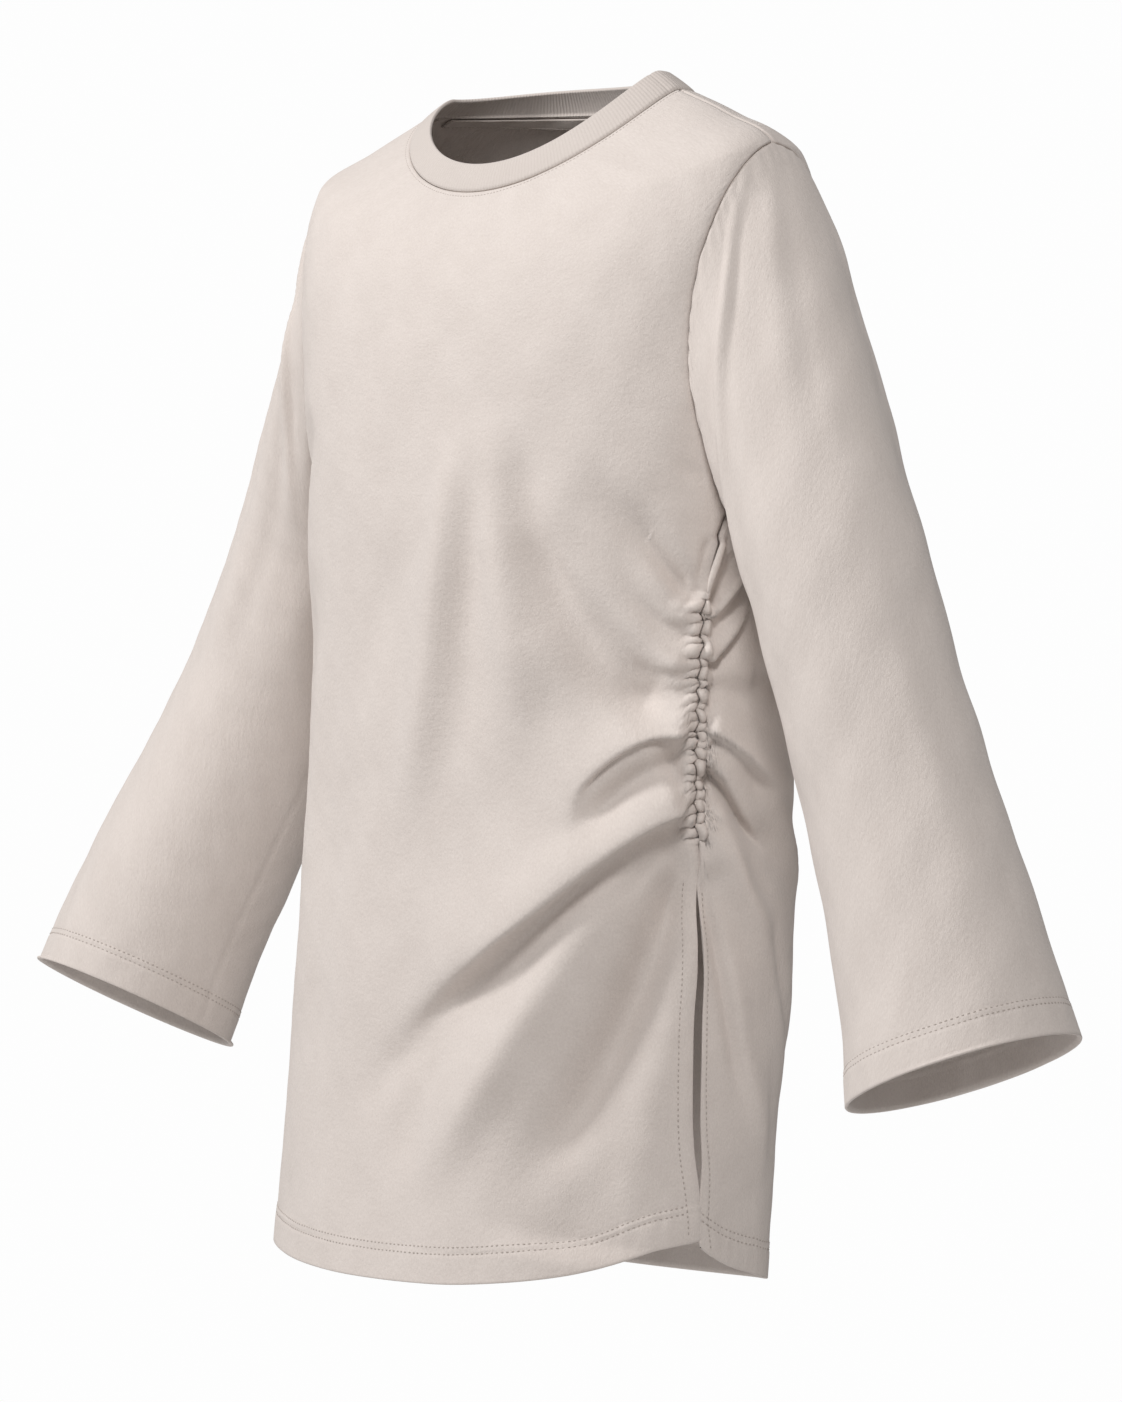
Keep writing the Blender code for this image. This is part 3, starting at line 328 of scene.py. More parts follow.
def curve_at(points, q):
    """Points of a smooth curve through a table, at shares q of its length."""
    p = np.asarray(points, float)
    step = np.hypot(np.diff(p[:, 0]) * METRE_PER_DEG, np.diff(p[:, 1]) * 0.09)
    s = np.concatenate([[0.0], np.cumsum(step)])
    q = np.asarray(q, float) * s[-1]
    return np.stack([along(s, p[:, 0], q), along(s, p[:, 1], q)], -1)


def spread(total, spacing):
    """Shares 0..1 of a length of total metres, spacing(share) metres apart."""
    q = np.linspace(0, 1, 6001)
    dens = total / np.array([spacing(x) for x in q])
    c = np.concatenate([[0], np.cumsum((dens[1:] + dens[:-1]) / 2 * np.diff(q))])
    n = int(round(c[-1]))
    return np.interp(np.linspace(0, c[-1], n + 1), c, q)


def smooth(x, a, b):
    """0 below a, 1 above b, smooth between."""
    t = np.clip((x - a) / (b - a), 0, 1)
    return t * t * (3 - 2 * t)


# ---------------------------------------------------------------- finer folds
# points (angle, ring), height, widths above and below the line, how far the cloth slides
# over what lies below it, shares of the length over which the fold fades at its ends
FINE = [
    ("side_hollow", [(33.0, 5.25), (41.0, 4.70), (48.0, 4.15), (52.0, 3.70), (55.0, 3.40)],
     -0.0060, 0.024, 0.024, 0.0, 0.45, 0.15),
    ("front_light_crest", [(9.0, 5.50), (4.5, 4.20), (-0.5, 3.20), (-4.0, 2.60)],
     0.0036, 0.010, 0.010, 0.0, 0.35, 0.40),
    ("front_curve", [(19.5, 5.75), (24.5, 5.15), (29.2, 4.45), (35.1, 3.97), (41.4, 3.66), (50.7, 3.53),
                     (60.5, 3.44)], -0.0048, 0.009, 0.013, 0.0, 0.40, 0.05),
    ("arm_crease", [(66.0, 5.22), (61.0, 5.26), (56.0, 5.33)], -0.0022, 0.0035, 0.0035, 0.0, 0.1, 0.6),
    ("radial_3", [(44.0, 5.20), (53.0, 4.76), (60.0, 4.42), (63.6, 4.24)],
     -0.0036, 0.0090, 0.0085, 0.0, 0.40, 0.05),
    ("radial_2", [(37.0, 5.10), (46.7, 4.28), (53.9, 3.86), (62.5, 3.66)],
     0.0022, 0.011, 0.010, 0.0, 0.40, 0.05),
    ("side_slope", [(22.0, 5.30), (24.0, 4.60), (27.0, 4.00), (29.0, 3.40)],
     0.0065, 0.026, 0.026, 0.0, 0.30, 0.30),
    ("low_hollow", [(60.0, 2.25), (54.0, 1.70), (49.0, 1.10), (46.0, 0.55), (44.0, 0.15)],
     -0.0115, 0.046, 0.044, 0.0, 0.25, 0.10),
    ("low_light_1", [(52.9, 2.57), (39.1, 2.25), (28.7, 1.79), (23.0, 1.42), (13.6, 0.91), (9.0, 0.60)],
     0.0070, 0.012, 0.014, 0.0, 0.20, 0.35),
    ("low_dark_1", [(62.3, 2.66), (57.1, 2.34), (48.0, 1.87), (44.1, 1.57), (37.8, 1.15), (32.0, 0.77)],
     -0.0095, 0.014, 0.024, 0.0, 0.15, 0.30),
    ("low_light_2", [(62.8, 2.39), (59.1, 1.92), (55.8, 1.46), (50.5, 0.99), (45.0, 0.63)],
     0.0012, 0.012, 0.012, 0.0, 0.25, 0.40),
    ("left_front_drape", [(-12.0, 4.40), (-16.0, 3.20), (-19.0, 2.00), (-20.0, 0.90)],
     0.0040, 0.026, 0.026, 0.0, 0.35, 0.30),
    ("left_front_fall", [(-30.0, 4.60), (-33.0, 3.20), (-35.0, 1.80)],
     -0.0035, 0.026, 0.026, 0.0, 0.35, 0.35),
    ("low_patch", [(9.0, 1.75), (3.0, 1.30), (1.0, 0.90), (3.0, 0.55)],
     -0.0055, 0.016, 0.016, 0.0, 0.35, 0.40),
    ("main_edge", [(62.0, 2.98), (52.0, 2.86), (44.4, 2.72), (34.8, 2.50), (26.5, 2.30),
                   (20.9, 2.17), (14.0, 2.00), (4.0, 1.78)], 0.0052, 0.014, 0.0036, 0.0065, 0.05, 0.45),
    ("main_under", [(62.0, 2.895), (52.0, 2.775), (44.4, 2.635), (34.8, 2.415), (26.5, 2.215),
                    (14.0, 1.91), (4.0, 1.70), (-4.0, 1.50)], -0.0114, 0.0044, 0.0090, 0.0, 0.04, 0.40),
    ("main_tail", [(25.0, 2.12), (12.6, 1.82), (1.4, 1.58), (-4.5, 1.40), (-9.5, 1.18), (-13.0, 0.95)],
     -0.0065, 0.012, 0.014, 0.0, 0.35, 0.35),
    ("main_roll", [(64.0, 3.14), (54.1, 3.02), (45.8, 2.85), (37.6, 2.68), (29.3, 2.50), (16.0, 2.18)],
     0.0032, 0.012, 0.012, 0.0, 0.10, 0.45),
    ("side_edge", [(62.0, 3.39), (55.4, 3.40), (50.5, 3.37), (43.6, 3.26), (38.0, 3.10),
                   (35.2, 2.90), (34.6, 2.70)], 0.0042, 0.0130, 0.0034, 0.0045, 0.05, 0.50),
    ("side_under", [(62.0, 3.32), (55.4, 3.33), (50.5, 3.30), (43.6, 3.19), (38.3, 3.03),
                    (35.8, 2.85)], -0.0032, 0.0042, 0.0060, 0.0, 0.05, 0.45),
    ("side_dark", [(61.8, 3.20), (51.5, 3.13), (44.6, 2.99), (39.0, 2.78), (36.0, 2.55)],
     -0.0060, 0.010, 0.012, 0.0, 0.10, 0.40),
    ("fan_1", [(63.2, 4.26), (59.4, 4.40), (51.7, 4.72), (45.5, 5.08)],
     -0.0032, 0.0075, 0.0062, 0.0, 0.05, 0.60),
    ("fan_1_ridge", [(63.0, 4.16), (58.0, 4.28), (50.0, 4.52), (42.0, 4.86)],
     0.0020, 0.0065, 0.0080, 0.0, 0.05, 0.60),
    ("fan_2", [(62.6, 4.02), (57.0, 4.05), (50.0, 4.22), (42.0, 4.50)],
     -0.0030, 0.0066, 0.0080, 0.0, 0.05, 0.60),
    ("fan_3", [(62.4, 3.84), (56.5, 3.80), (49.0, 3.86), (40.0, 4.05)],
     0.0018, 0.0080, 0.0055, 0.0, 0.05, 0.60),
    ("fan_4", [(62.4, 3.66), (57.0, 3.60), (50.0, 3.60), (42.0, 3.70)],
     -0.0018, 0.0060, 0.0070, 0.0, 0.05, 0.60),
    ("fan_5", [(62.4, 3.20), (57.0, 3.10), (50.0, 3.00), (43.5, 2.86)],
     0.0020, 0.0060, 0.0060, 0.0, 0.05, 0.55),
    ("fan_6", [(62.2, 2.80), (57.0, 2.66), (51.0, 2.45), (45.5, 2.22)],
     0.0018, 0.0060, 0.0060, 0.0, 0.05, 0.60),
    ("fan_7", [(62.4, 2.66), (59.0, 2.40), (56.0, 2.05), (54.0, 1.70)],
     -0.0022, 0.0065, 0.0065, 0.0, 0.10, 0.60),
    ("low_line", [(61.0, 2.50), (57.0, 2.15), (50.5, 1.75), (44.5, 1.35), (38.5, 0.98), (33.0, 0.66)],
     -0.0026, 0.0100, 0.0120, 0.0, 0.15, 0.40),
    ("under_a", [(64.2, 4.22), (65.0, 4.45), (67.2, 4.80)], -0.0040, 0.0036, 0.0036, 0.0, 0.20, 0.20),
    ("under_b", [(66.2, 4.20), (69.4, 4.44), (73.6, 4.80)], -0.0055, 0.0034, 0.0034, 0.0, 0.15, 0.20),
    ("under_c", [(67.2, 4.14), (72.6, 4.40), (79.0, 4.74)], -0.0055, 0.0036, 0.0036, 0.0, 0.15, 0.25),
    ("under_d", [(67.4, 4.00), (74.0, 4.16), (84.0, 4.46)], -0.0045, 0.0040, 0.0040, 0.0, 0.15, 0.30),
    ("bk_fan_1", [(66.0, 4.20), (68.5, 4.45), (71.5, 4.78)], 0.0062, 0.0048, 0.0040, 0.0, 0.15, 0.15),
    ("bk_fan_2", [(66.4, 4.18), (70.5, 4.38), (76.0, 4.72)], -0.0058, 0.0042, 0.0042, 0.0, 0.15, 0.25),
    ("bk_fan_3", [(66.6, 4.12), (72.5, 4.30), (81.0, 4.60)], 0.0062, 0.0062, 0.0042, 0.0015, 0.12, 0.35),
    ("bk_1", [(66.2, 3.84), (71.0, 3.95), (78.7, 4.18), (86.0, 4.40)], 0.0050, 0.0110, 0.0036, 0.0040, 0.08, 0.50),
    ("bk_1_under", [(66.2, 3.77), (71.2, 3.87), (79.2, 4.09), (87.0, 4.30)], -0.0048, 0.0042, 0.0080, 0.0, 0.08, 0.50),
    ("bk_2", [(68.0, 3.59), (75.0, 3.56), (82.2, 3.51), (92.0, 3.44)], 0.0024, 0.0060, 0.0060, 0.0, 0.10, 0.60),
    ("bk_3", [(67.0, 3.42), (72.0, 3.37), (78.0, 3.28), (85.0, 3.16), (92.9, 3.02)], 0.0050, 0.0120, 0.0038, 0.0040, 0.06, 0.45),
    ("bk_3_under", [(67.0, 3.34), (72.0, 3.29), (78.0, 3.195), (85.0, 3.07), (92.9, 2.93)], -0.0044, 0.0042, 0.0080, 0.0, 0.06, 0.45),
    ("bk_4", [(66.6, 3.24), (74.0, 3.10), (81.2, 2.89), (90.6, 2.68)], 0.0050, 0.0110, 0.0038, 0.0040, 0.08, 0.45),
    ("bk_4_under", [(66.6, 3.16), (74.0, 3.01), (81.0, 2.80), (90.4, 2.59)], -0.0044, 0.0042, 0.0080, 0.0, 0.08, 0.45),
    ("bk_5", [(66.5, 2.98), (71.4, 2.85), (75.5, 2.66), (80.0, 2.42)], 0.0040, 0.0090, 0.0062, 0.0010, 0.30, 0.50),
    ("bk_6", [(66.8, 2.85), (73.0, 2.66), (81.1, 2.35), (92.2, 2.09)], 0.0030, 0.0075, 0.0065, 0.0, 0.40, 0.50),
    ("back_fall_1", [(150.0, 5.5), (153.0, 4.2), (158.0, 2.6), (160.0, 1.2)], 0.0022, 0.014, 0.014, 0.0, 0.35, 0.35),
    ("back_fall_2", [(174.0, 5.7), (177.0, 4.4), (180.0, 2.8)], -0.0022, 0.012, 0.012, 0.0, 0.35, 0.40),
    ("back_fall_3", [(207.0, 5.4), (204.0, 4.0), (200.0, 2.0)], 0.0022, 0.014, 0.014, 0.0, 0.35, 0.35),
    ("back_fall_4", [(237.0, 5.2), (233.0, 3.6), (229.0, 1.5)], -0.0022, 0.013, 0.013, 0.0, 0.35, 0.35),
    ("back_pull_1", [(84.0, 3.10), (104.0, 2.72), (128.0, 2.30), (152.0, 1.95)], 0.0034, 0.010, 0.012, 0.0, 0.10, 0.50),
    ("back_pull_2", [(82.0, 3.70), (100.0, 3.76), (126.0, 3.92)], -0.0034, 0.009, 0.009, 0.0, 0.10, 0.60),
    ("back_pull_3", [(86.0, 2.30), (104.0, 1.75), (124.0, 1.25)], -0.0034, 0.010, 0.010, 0.0, 0.15, 0.55),
    ("back_arm_pull", [(112.0, 5.55), (126.0, 5.10), (140.0, 4.60)], -0.0036, 0.010, 0.010, 0.0, 0.20, 0.55),
    ("back_arm_pull_r", [(248.0, 5.55), (234.0, 5.05), (222.0, 4.50)], 0.0034, 0.010, 0.010, 0.0, 0.20, 0.55),
    ("bk_7", [(67.0, 2.68), (70.4, 2.38), (74.4, 2.03), (80.6, 1.56), (87.8, 1.16), (95.6, 0.80)],
     0.0056, 0.0120, 0.0074, 0.0008, 0.25, 0.40),
    ("bk_7_under", [(66.8, 2.58), (69.6, 2.28), (73.4, 1.93), (79.4, 1.46), (86.4, 1.06)],
     -0.0048, 0.0062, 0.0085, 0.0, 0.30, 0.45),
]


def fold_lines():
    """Every fold as a line on the flat map of the form, with its profile."""
    t = np.linspace(0, 1, 25)
    lines = []
    for _, a0, r0, a1, r1, a2, r2, high, w_up, w_dn, f0, f1 in FOLDS:
        ma, mr = 2 * a1 - 0.5 * (a0 + a2), 2 * r1 - 0.5 * (r0 + r2)
        lines.append((arc_point((1 - t) ** 2 * a0 + 2 * t * (1 - t) * ma + t * t * a2,
                                (1 - t) ** 2 * r0 + 2 * t * (1 - t) * mr + t * t * r2),
                      high, w_up, w_dn, 0.0, f0, f1))
    for _, pts, high, w_up, w_dn, slide, f0, f1 in FINE + small_pleats():
        p = np.asarray(pts, float)
        s = np.concatenate([[0], np.cumsum(np.hypot(np.diff(p[:, 0]) * METRE_PER_DEG,
                                                    np.diff(p[:, 1]) * 0.11))])
        q = t * s[-1]
        lines.append((arc_point(along(s, p[:, 0], q), along(s, p[:, 1], q)),
                      high, w_up, w_dn, slide, f0, f1))
    return lines


# heights of the pleats of the gathered strip, top to bottom, on the front and on the back
PLEATS = -np.array([0.3270, 0.3370, 0.3440, 0.3530, 0.3580, 0.3710, 0.3770, 0.3850, 0.3900,
                    0.3950, 0.4020, 0.4090, 0.4170, 0.4250, 0.4300, 0.4390, 0.4440, 0.4490,
                    0.4570, 0.4640, 0.4690, 0.4780, 0.4860, 0.4950, 0.5030])
PLEATS = PLEATS[0] + (PLEATS - PLEATS[0]) * 0.850
STRIP_TOP, STRIP_END = -0.322, -0.4810
_jit = np.random.default_rng(7)
PLEATS_FRONT = np.sort(PLEATS + _jit.uniform(-0.0008, 0.0008, len(PLEATS)))
PLEATS_BACK = np.sort(np.delete(PLEATS, [4, 9, 17]) + _jit.uniform(-0.0022, 0.0022, len(PLEATS) - 3))
SEAM_SWAY = 0.0014 * (-1.0) ** np.arange(len(PLEATS)) * _jit.uniform(0.5, 1.3, len(PLEATS))
REACH_FRONT = _jit.uniform(0.0075, 0.0130, len(PLEATS))
REACH_BACK = _jit.uniform(0.0050, 0.0078, len(PLEATS))
LINE_FRONT = _jit.uniform(0.005, 0.017, len(PLEATS))
LINE_BACK = _jit.uniform(0.004, 0.015, len(PLEATS))
BEND = _jit.uniform(-0.0026, 0.0026, (2, len(PLEATS)))
DEPTH = _jit.uniform(0.5, 1.45, (2, len(PLEATS)))


def ring_at(z):
    """Ring whose height at the left side is z."""
    return along(RINGS[:, 2], RINGS[:, 0], z)


def small_pleats():
    """Short folds that run out of the gathered strip to both sides."""
    rng = np.random.default_rng(31)
    out = []
    for k, z in enumerate(PLEATS):
        f = k / (len(PLEATS) - 1)
        for way in (-1, 1):
            long = rng.uniform(0.018, 0.045)
            tilt = math.radians(rng.uniform(-6, 6) + ((38 - 72 * f) if way < 0 else (48 - 118 * f)))
            d0 = 0.0045 if way > 0 else 0.0065
            pts = []
            for s in (0.0, 0.5, 1.0):
                d = d0 + s * long * math.cos(tilt)
                zz = z + s * s * long * math.sin(tilt)
                pts.append((65.0 + way * d / METRE_PER_DEG, float(ring_at(zz))))
            sign = -1 if rng.random() < 0.6 else 1
            high = sign * rng.uniform(0.0008, 0.0020)
            wide = rng.uniform(0.0022, 0.0042)
            if way > 0:
                high, wide = high * (0.7 - 0.5 * f), wide + 0.0018
            out.append((f"pleat_{k}", pts, high, wide, wide, 0.0, 0.05, 0.75))
    return out


LINES = fold_lines()


def folds(angle, ring):
    """Height along the normal and slide on the flat map, at points of the form."""
    shape = angle.shape
    p = arc_point(angle, ring).reshape(-1, 2)
    high_all = np.zeros(len(p))
    slide_all = np.zeros((len(p), 2))
    for line, high, w_up, w_dn, slide, f0, f1 in LINES:
        reach = 2.7 * max(w_up, w_dn)
        near = np.flatnonzero(((p > line.min(0) - reach) & (p < line.max(0) + reach)).all(1))
        if not len(near):
            continue
        a, ab = line[:-1], np.diff(line, axis=0)
        for part_of in np.array_split(near, max(1, len(near) // 20000 + 1)):
            q = p[part_of][:, None]
            k = np.clip(((q - a) * ab).sum(-1) / (ab * ab).sum(-1), 0, 1)
            off = q - (a + k[..., None] * ab)
            d2 = (off ** 2).sum(-1)
            i = d2.argmin(1)
            j = np.arange(len(i))
            off, k, d = off[j, i], k[j, i], np.sqrt(d2[j, i])
            nrm = np.stack([-ab[i, 1], ab[i, 0]], -1)
            nrm = unit(np.where(nrm[:, 1:] < 0, -nrm, nrm))
            above = (off * nrm).sum(-1) > 0
            wide = np.where(above, w_up, w_dn)
            shape_of = window((i + k) / len(ab), f0, f1) * np.exp(-(d / wide) ** 2)
            high_all[part_of] += high * shape_of
            if slide:
                slide_all[part_of] -= nrm * (slide * shape_of)[:, None]
    calm = np.clip((8.6 - ring) / 1.2, 0, 1).reshape(-1)
    return (high_all * calm).reshape(shape), (slide_all * calm[:, None]).reshape(*shape, 2)


def side_line(ring):
    """Angle of the left side seam at a ring."""
    return along(SIDE_LEFT[:, 1], SIDE_LEFT[:, 0], ring)


def gathers(angle, ring):
    """Height and sideways shift of the gathered strip at the left side seam."""
    z = along(RINGS[:, 0], RINGS[:, 2], ring)
    d = (angle - side_line(ring)) * 0.0031
    on = smooth(z, STRIP_END - 0.002, STRIP_END + 0.004) * (1 - smooth(z, STRIP_TOP - 0.003, STRIP_TOP + 0.003))
    on = on * (np.abs(d) < 0.06)
    high = np.zeros(angle.shape)
    for way, zs, reach, lines in ((-1, PLEATS_FRONT, REACH_FRONT, LINE_FRONT),
                                  (1, PLEATS_BACK, REACH_BACK, LINE_BACK)):
        m = (d * way > 0) | (np.abs(d) < 1e-9)
        out = np.abs(d)
        # every crease bends up or down as it leaves the seam
        side_k = 0 if way < 0 else 1
        curl = np.interp(z, zs, BEND[side_k, :len(zs)]) * (out / 0.010) ** 1.5
        curl = curl * np.exp(-(out / 0.022) ** 2) + 0.0004 * np.sin(out * 900 + z * 600)
        zz = z - curl
        k = np.clip(np.searchsorted(zs, zz) - 1, 0, len(zs) - 2)
        gap = zs[k + 1] - zs[k]
        t = np.clip((zz - zs[k]) / gap, 0, 1)
        puff = np.sqrt(np.clip(4 * t * (1 - t), 0, 1))
        rise = 1 - np.exp(-(out / 0.0013) ** 2)
        fall = np.exp(-(out / reach[k]) ** 6)
        h = 0.0036 * np.clip(gap / 0.008, 0.5, 1.4) * puff * rise * fall
        h = h - 0.0004 * np.exp(-((out - reach[k]) / 0.0012) ** 2)
        for zk, ln, deep in zip(zs, lines, DEPTH[side_k]):
            thin = 0.00085 + 0.05 * out
            h = h - 0.0026 * deep * np.exp(-((zz - zk) / thin) ** 2) * np.exp(-(out / ln) ** 2)
        high = np.where(m, h, high)
    sway = np.interp(z, PLEATS[::-1], SEAM_SWAY[::-1]) * np.exp(-(d / 0.007) ** 2) * on
    groove = 0.0006 * np.exp(-(d / 0.0013) ** 2)
    return (high - groove) * on, sway


def waves(p):
    """Slight unevenness of cloth that isn't pulled taut."""
    x, y, z = p[..., 0], p[..., 1], p[..., 2]
    return (0.00045 * np.sin(x * 61 + 1.3 * np.sin(z * 23) + 2.0) * np.sin(z * 37 + y * 41)
            + 0.00030 * np.sin(x * 97 - z * 71 + y * 83 + 0.7)
            + 0.00016 * np.sin(x * 190 + z * 143 + 1.1) * np.sin(y * 170 - z * 90))


def body_fine(angle, ring):
    """Body form with all its folds and the gathers."""
    p = form(angle, ring)
    e_a, e_r = 0.4, 0.015
    lo, hi = np.clip(ring - e_r, 0, 10), np.clip(ring + e_r, 0, 10)
    da = unit(form(angle + e_a, ring) - form(angle - e_a, ring))
    dr = unit(form(angle, hi) - form(angle, lo))
    n = unit(np.cross(da, dr))
    high, slide = folds(angle, ring)
    g, sway = gathers(angle, ring)
    calm = smooth(ring, 0.0, 0.5) * (1 - smooth(ring, 8.5, 9.8))
    return (p + n * (high + g + waves(p) * calm)[..., None]
            + da * (slide[..., :1] + sway[..., None]) + dr * slide[..., 1:])


def normals(grid, wrap=False):
    du = (np.roll(grid, -1, 0) - np.roll(grid, 1, 0)) if wrap else np.gradient(grid, axis=0)
    dv = np.gradient(grid, axis=1)
    return unit(np.cross(du, dv))


# ---------------------------------------------------------------- panel edges and steps
neck_l, neck_r = 89.6, -89.6
SLIT_TOP = 2.53
HEM_DEEP, ROW_APART = 0.0232, 0.0045


def z_left(q):
    return float(arc_point(0.0, curve_at(SIDE_LEFT, q)[..., 1])[..., 1])


def side_step(q):
    z = z_left(q)
    if q < 0.062:
        return 0.0016
    if STRIP_END - 0.004 < z < STRIP_TOP + 0.003:
        return 0.00110
    if STRIP_TOP < z < -0.275:
        return 0.0026
    return 0.0052


Q_SIDE = spread(0.470, side_step)
Q_ARM = spread(0.262, lambda q: 0.0038)
Q_SHOULDER = spread(0.098, lambda q: 0.0012 if q > 0.93 else 0.0042)

side_l = curve_at(SIDE_LEFT, Q_SIDE)
side_l_back = side_l.copy()
low = side_l[:, 1] < SLIT_TOP
side_l_back[low, 0] = along(SLIT_LEFT_BACK[:, 1], SLIT_LEFT_BACK[:, 0], side_l[low, 1])
side_r = curve_at(SIDE_RIGHT, Q_SIDE)


def right_arm(table, q):
    """Right armhole: the left one mirrored, moved at the underarm to the right side seam."""
    p = curve_at(table, q)
    p[..., 0] = -p[..., 0]
    p[..., 0] += (1 - q) ** 2 * (SIDE_RIGHT[-1, 0] + ARM_FRONT[0, 0])
    return p


def left_arm(table, q):
    return curve_at(table, q)


def shoulder(edge_end, neck_angle):
    q = Q_SHOULDER
    return np.stack([edge_end[0] + (neck_angle - edge_end[0]) * q,
                     edge_end[1] + (10.0 - edge_end[1]) * q], -1)


def columns(width, first, last, step):
    """Shares across a panel: first and last give the steps beside its two seams."""
    a = np.cumsum([0.0] + list(first))
    b = width - np.cumsum([0.0] + list(last))[::-1]
    n = int(round((b[0] - a[-1]) / step))
    return np.concatenate([a, np.linspace(a[-1], b[0], n + 1)[1:-1], b]) / width


NEAR = [0.0004, 0.0004, 0.0006, 0.0008, 0.0008, 0.0009, 0.0009, 0.0010, 0.0010, 0.0011, 0.0012, 0.0013,
        0.0014, 0.0015, 0.0016, 0.0017, 0.0018, 0.0019, 0.0020, 0.0021, 0.0022, 0.0023, 0.0024, 0.0025,
        0.0026, 0.0028, 0.0030, 0.0032, 0.0035, 0.0038, 0.0041, 0.0045]
PLAIN = [0.0005, 0.0006, 0.0010, 0.0016, 0.0028]
U_FRONT = columns(0.500, PLAIN, NEAR[::-1], 0.0049)
U_BACK = columns(0.540, NEAR, PLAIN[::-1], 0.0056)


def panel(first_edge, last_edge, hem, top, u):
    left = np.concatenate([first_edge[0], first_edge[1][1:], first_edge[2][1:]])
    right = np.concatenate([last_edge[0], last_edge[1][1:], last_edge[2][1:]])
    u = u[:, None, None]
    v = ((left[:, 1] + right[:, 1]) / 20.0)[None, :, None]
    v = (v - v[0, 0]) / (v[0, -1] - v[0, 0])
    return ((1 - u) * left[None] + u * right[None] + (1 - v) * hem[:, None] + v * top[:, None]
            - (1 - u) * (1 - v) * left[0] - u * (1 - v) * right[0]
            - (1 - u) * v * left[-1] - u * v * right[-1])


arm_lf, arm_lb = left_arm(ARM_FRONT, Q_ARM), left_arm(ARM_BACK, Q_ARM)
arm_rf, arm_rb = right_arm(ARM_FRONT, Q_ARM), right_arm(ARM_BACK, Q_ARM)
sh_l, sh_r = shoulder(arm_lf[-1], neck_l), shoulder(arm_rf[-1], neck_r)
full = np.array([360.0, 0.0])
neck_f = np.stack([neck_r + (neck_l - neck_r) * U_FRONT, np.full(len(U_FRONT), 10.0)], -1)
neck_b = np.stack([neck_l + (360 + neck_r - neck_l) * U_BACK, np.full(len(U_BACK), 10.0)], -1)
grid_front = panel((side_r, arm_rf, sh_r), (side_l, arm_lf, sh_l),
                   curve_at(HEM_FRONT, U_FRONT), neck_f, U_FRONT)
grid_back = panel((side_l_back, arm_lb, sh_l), (side_r + full, arm_rb + full, sh_r + full),
                  curve_at(HEM_BACK, U_BACK), neck_b, U_BACK)


def follow(grid, line, base, top):
    """Bends the rows of a panel so that they run along its long fold."""
    a, r = grid[..., 0], grid[..., 1]
    drop = np.interp(a, *np.array(sorted(line)).T)
    rows = np.where(r < base, r / base, 1 - smooth(r, base, top))
    grid[..., 1] = r - drop * rows


follow(grid_front, [(-62, 0.0), (-30, 0.80), (-14, 1.22), (-4, 1.36), (2.2, 1.22), (13.1, 1.01), (25.4, 0.74),
                    (34.3, 0.55), (44.7, 0.32), (52.5, 0.18), (61.9, 0.0), (68.0, 0.0)], 2.95, 5.9)
follow(grid_back, [(66.0, 0.0), (70.4, 0.28), (74.4, 0.52), (80.6, 0.80), (90.0, 1.05), (105.0, 1.0),
                   (150.0, 0.0)], 2.68, 5.6)
mid_front = body_fine(grid_front[..., 0], grid_front[..., 1])
mid_back = body_fine(grid_back[..., 0], grid_back[..., 1])
N_SIDE, N_ARM = len(Q_SIDE) - 1, len(Q_ARM) - 1


# ---------------------------------------------------------------- sleeves
N_ROUND = 150


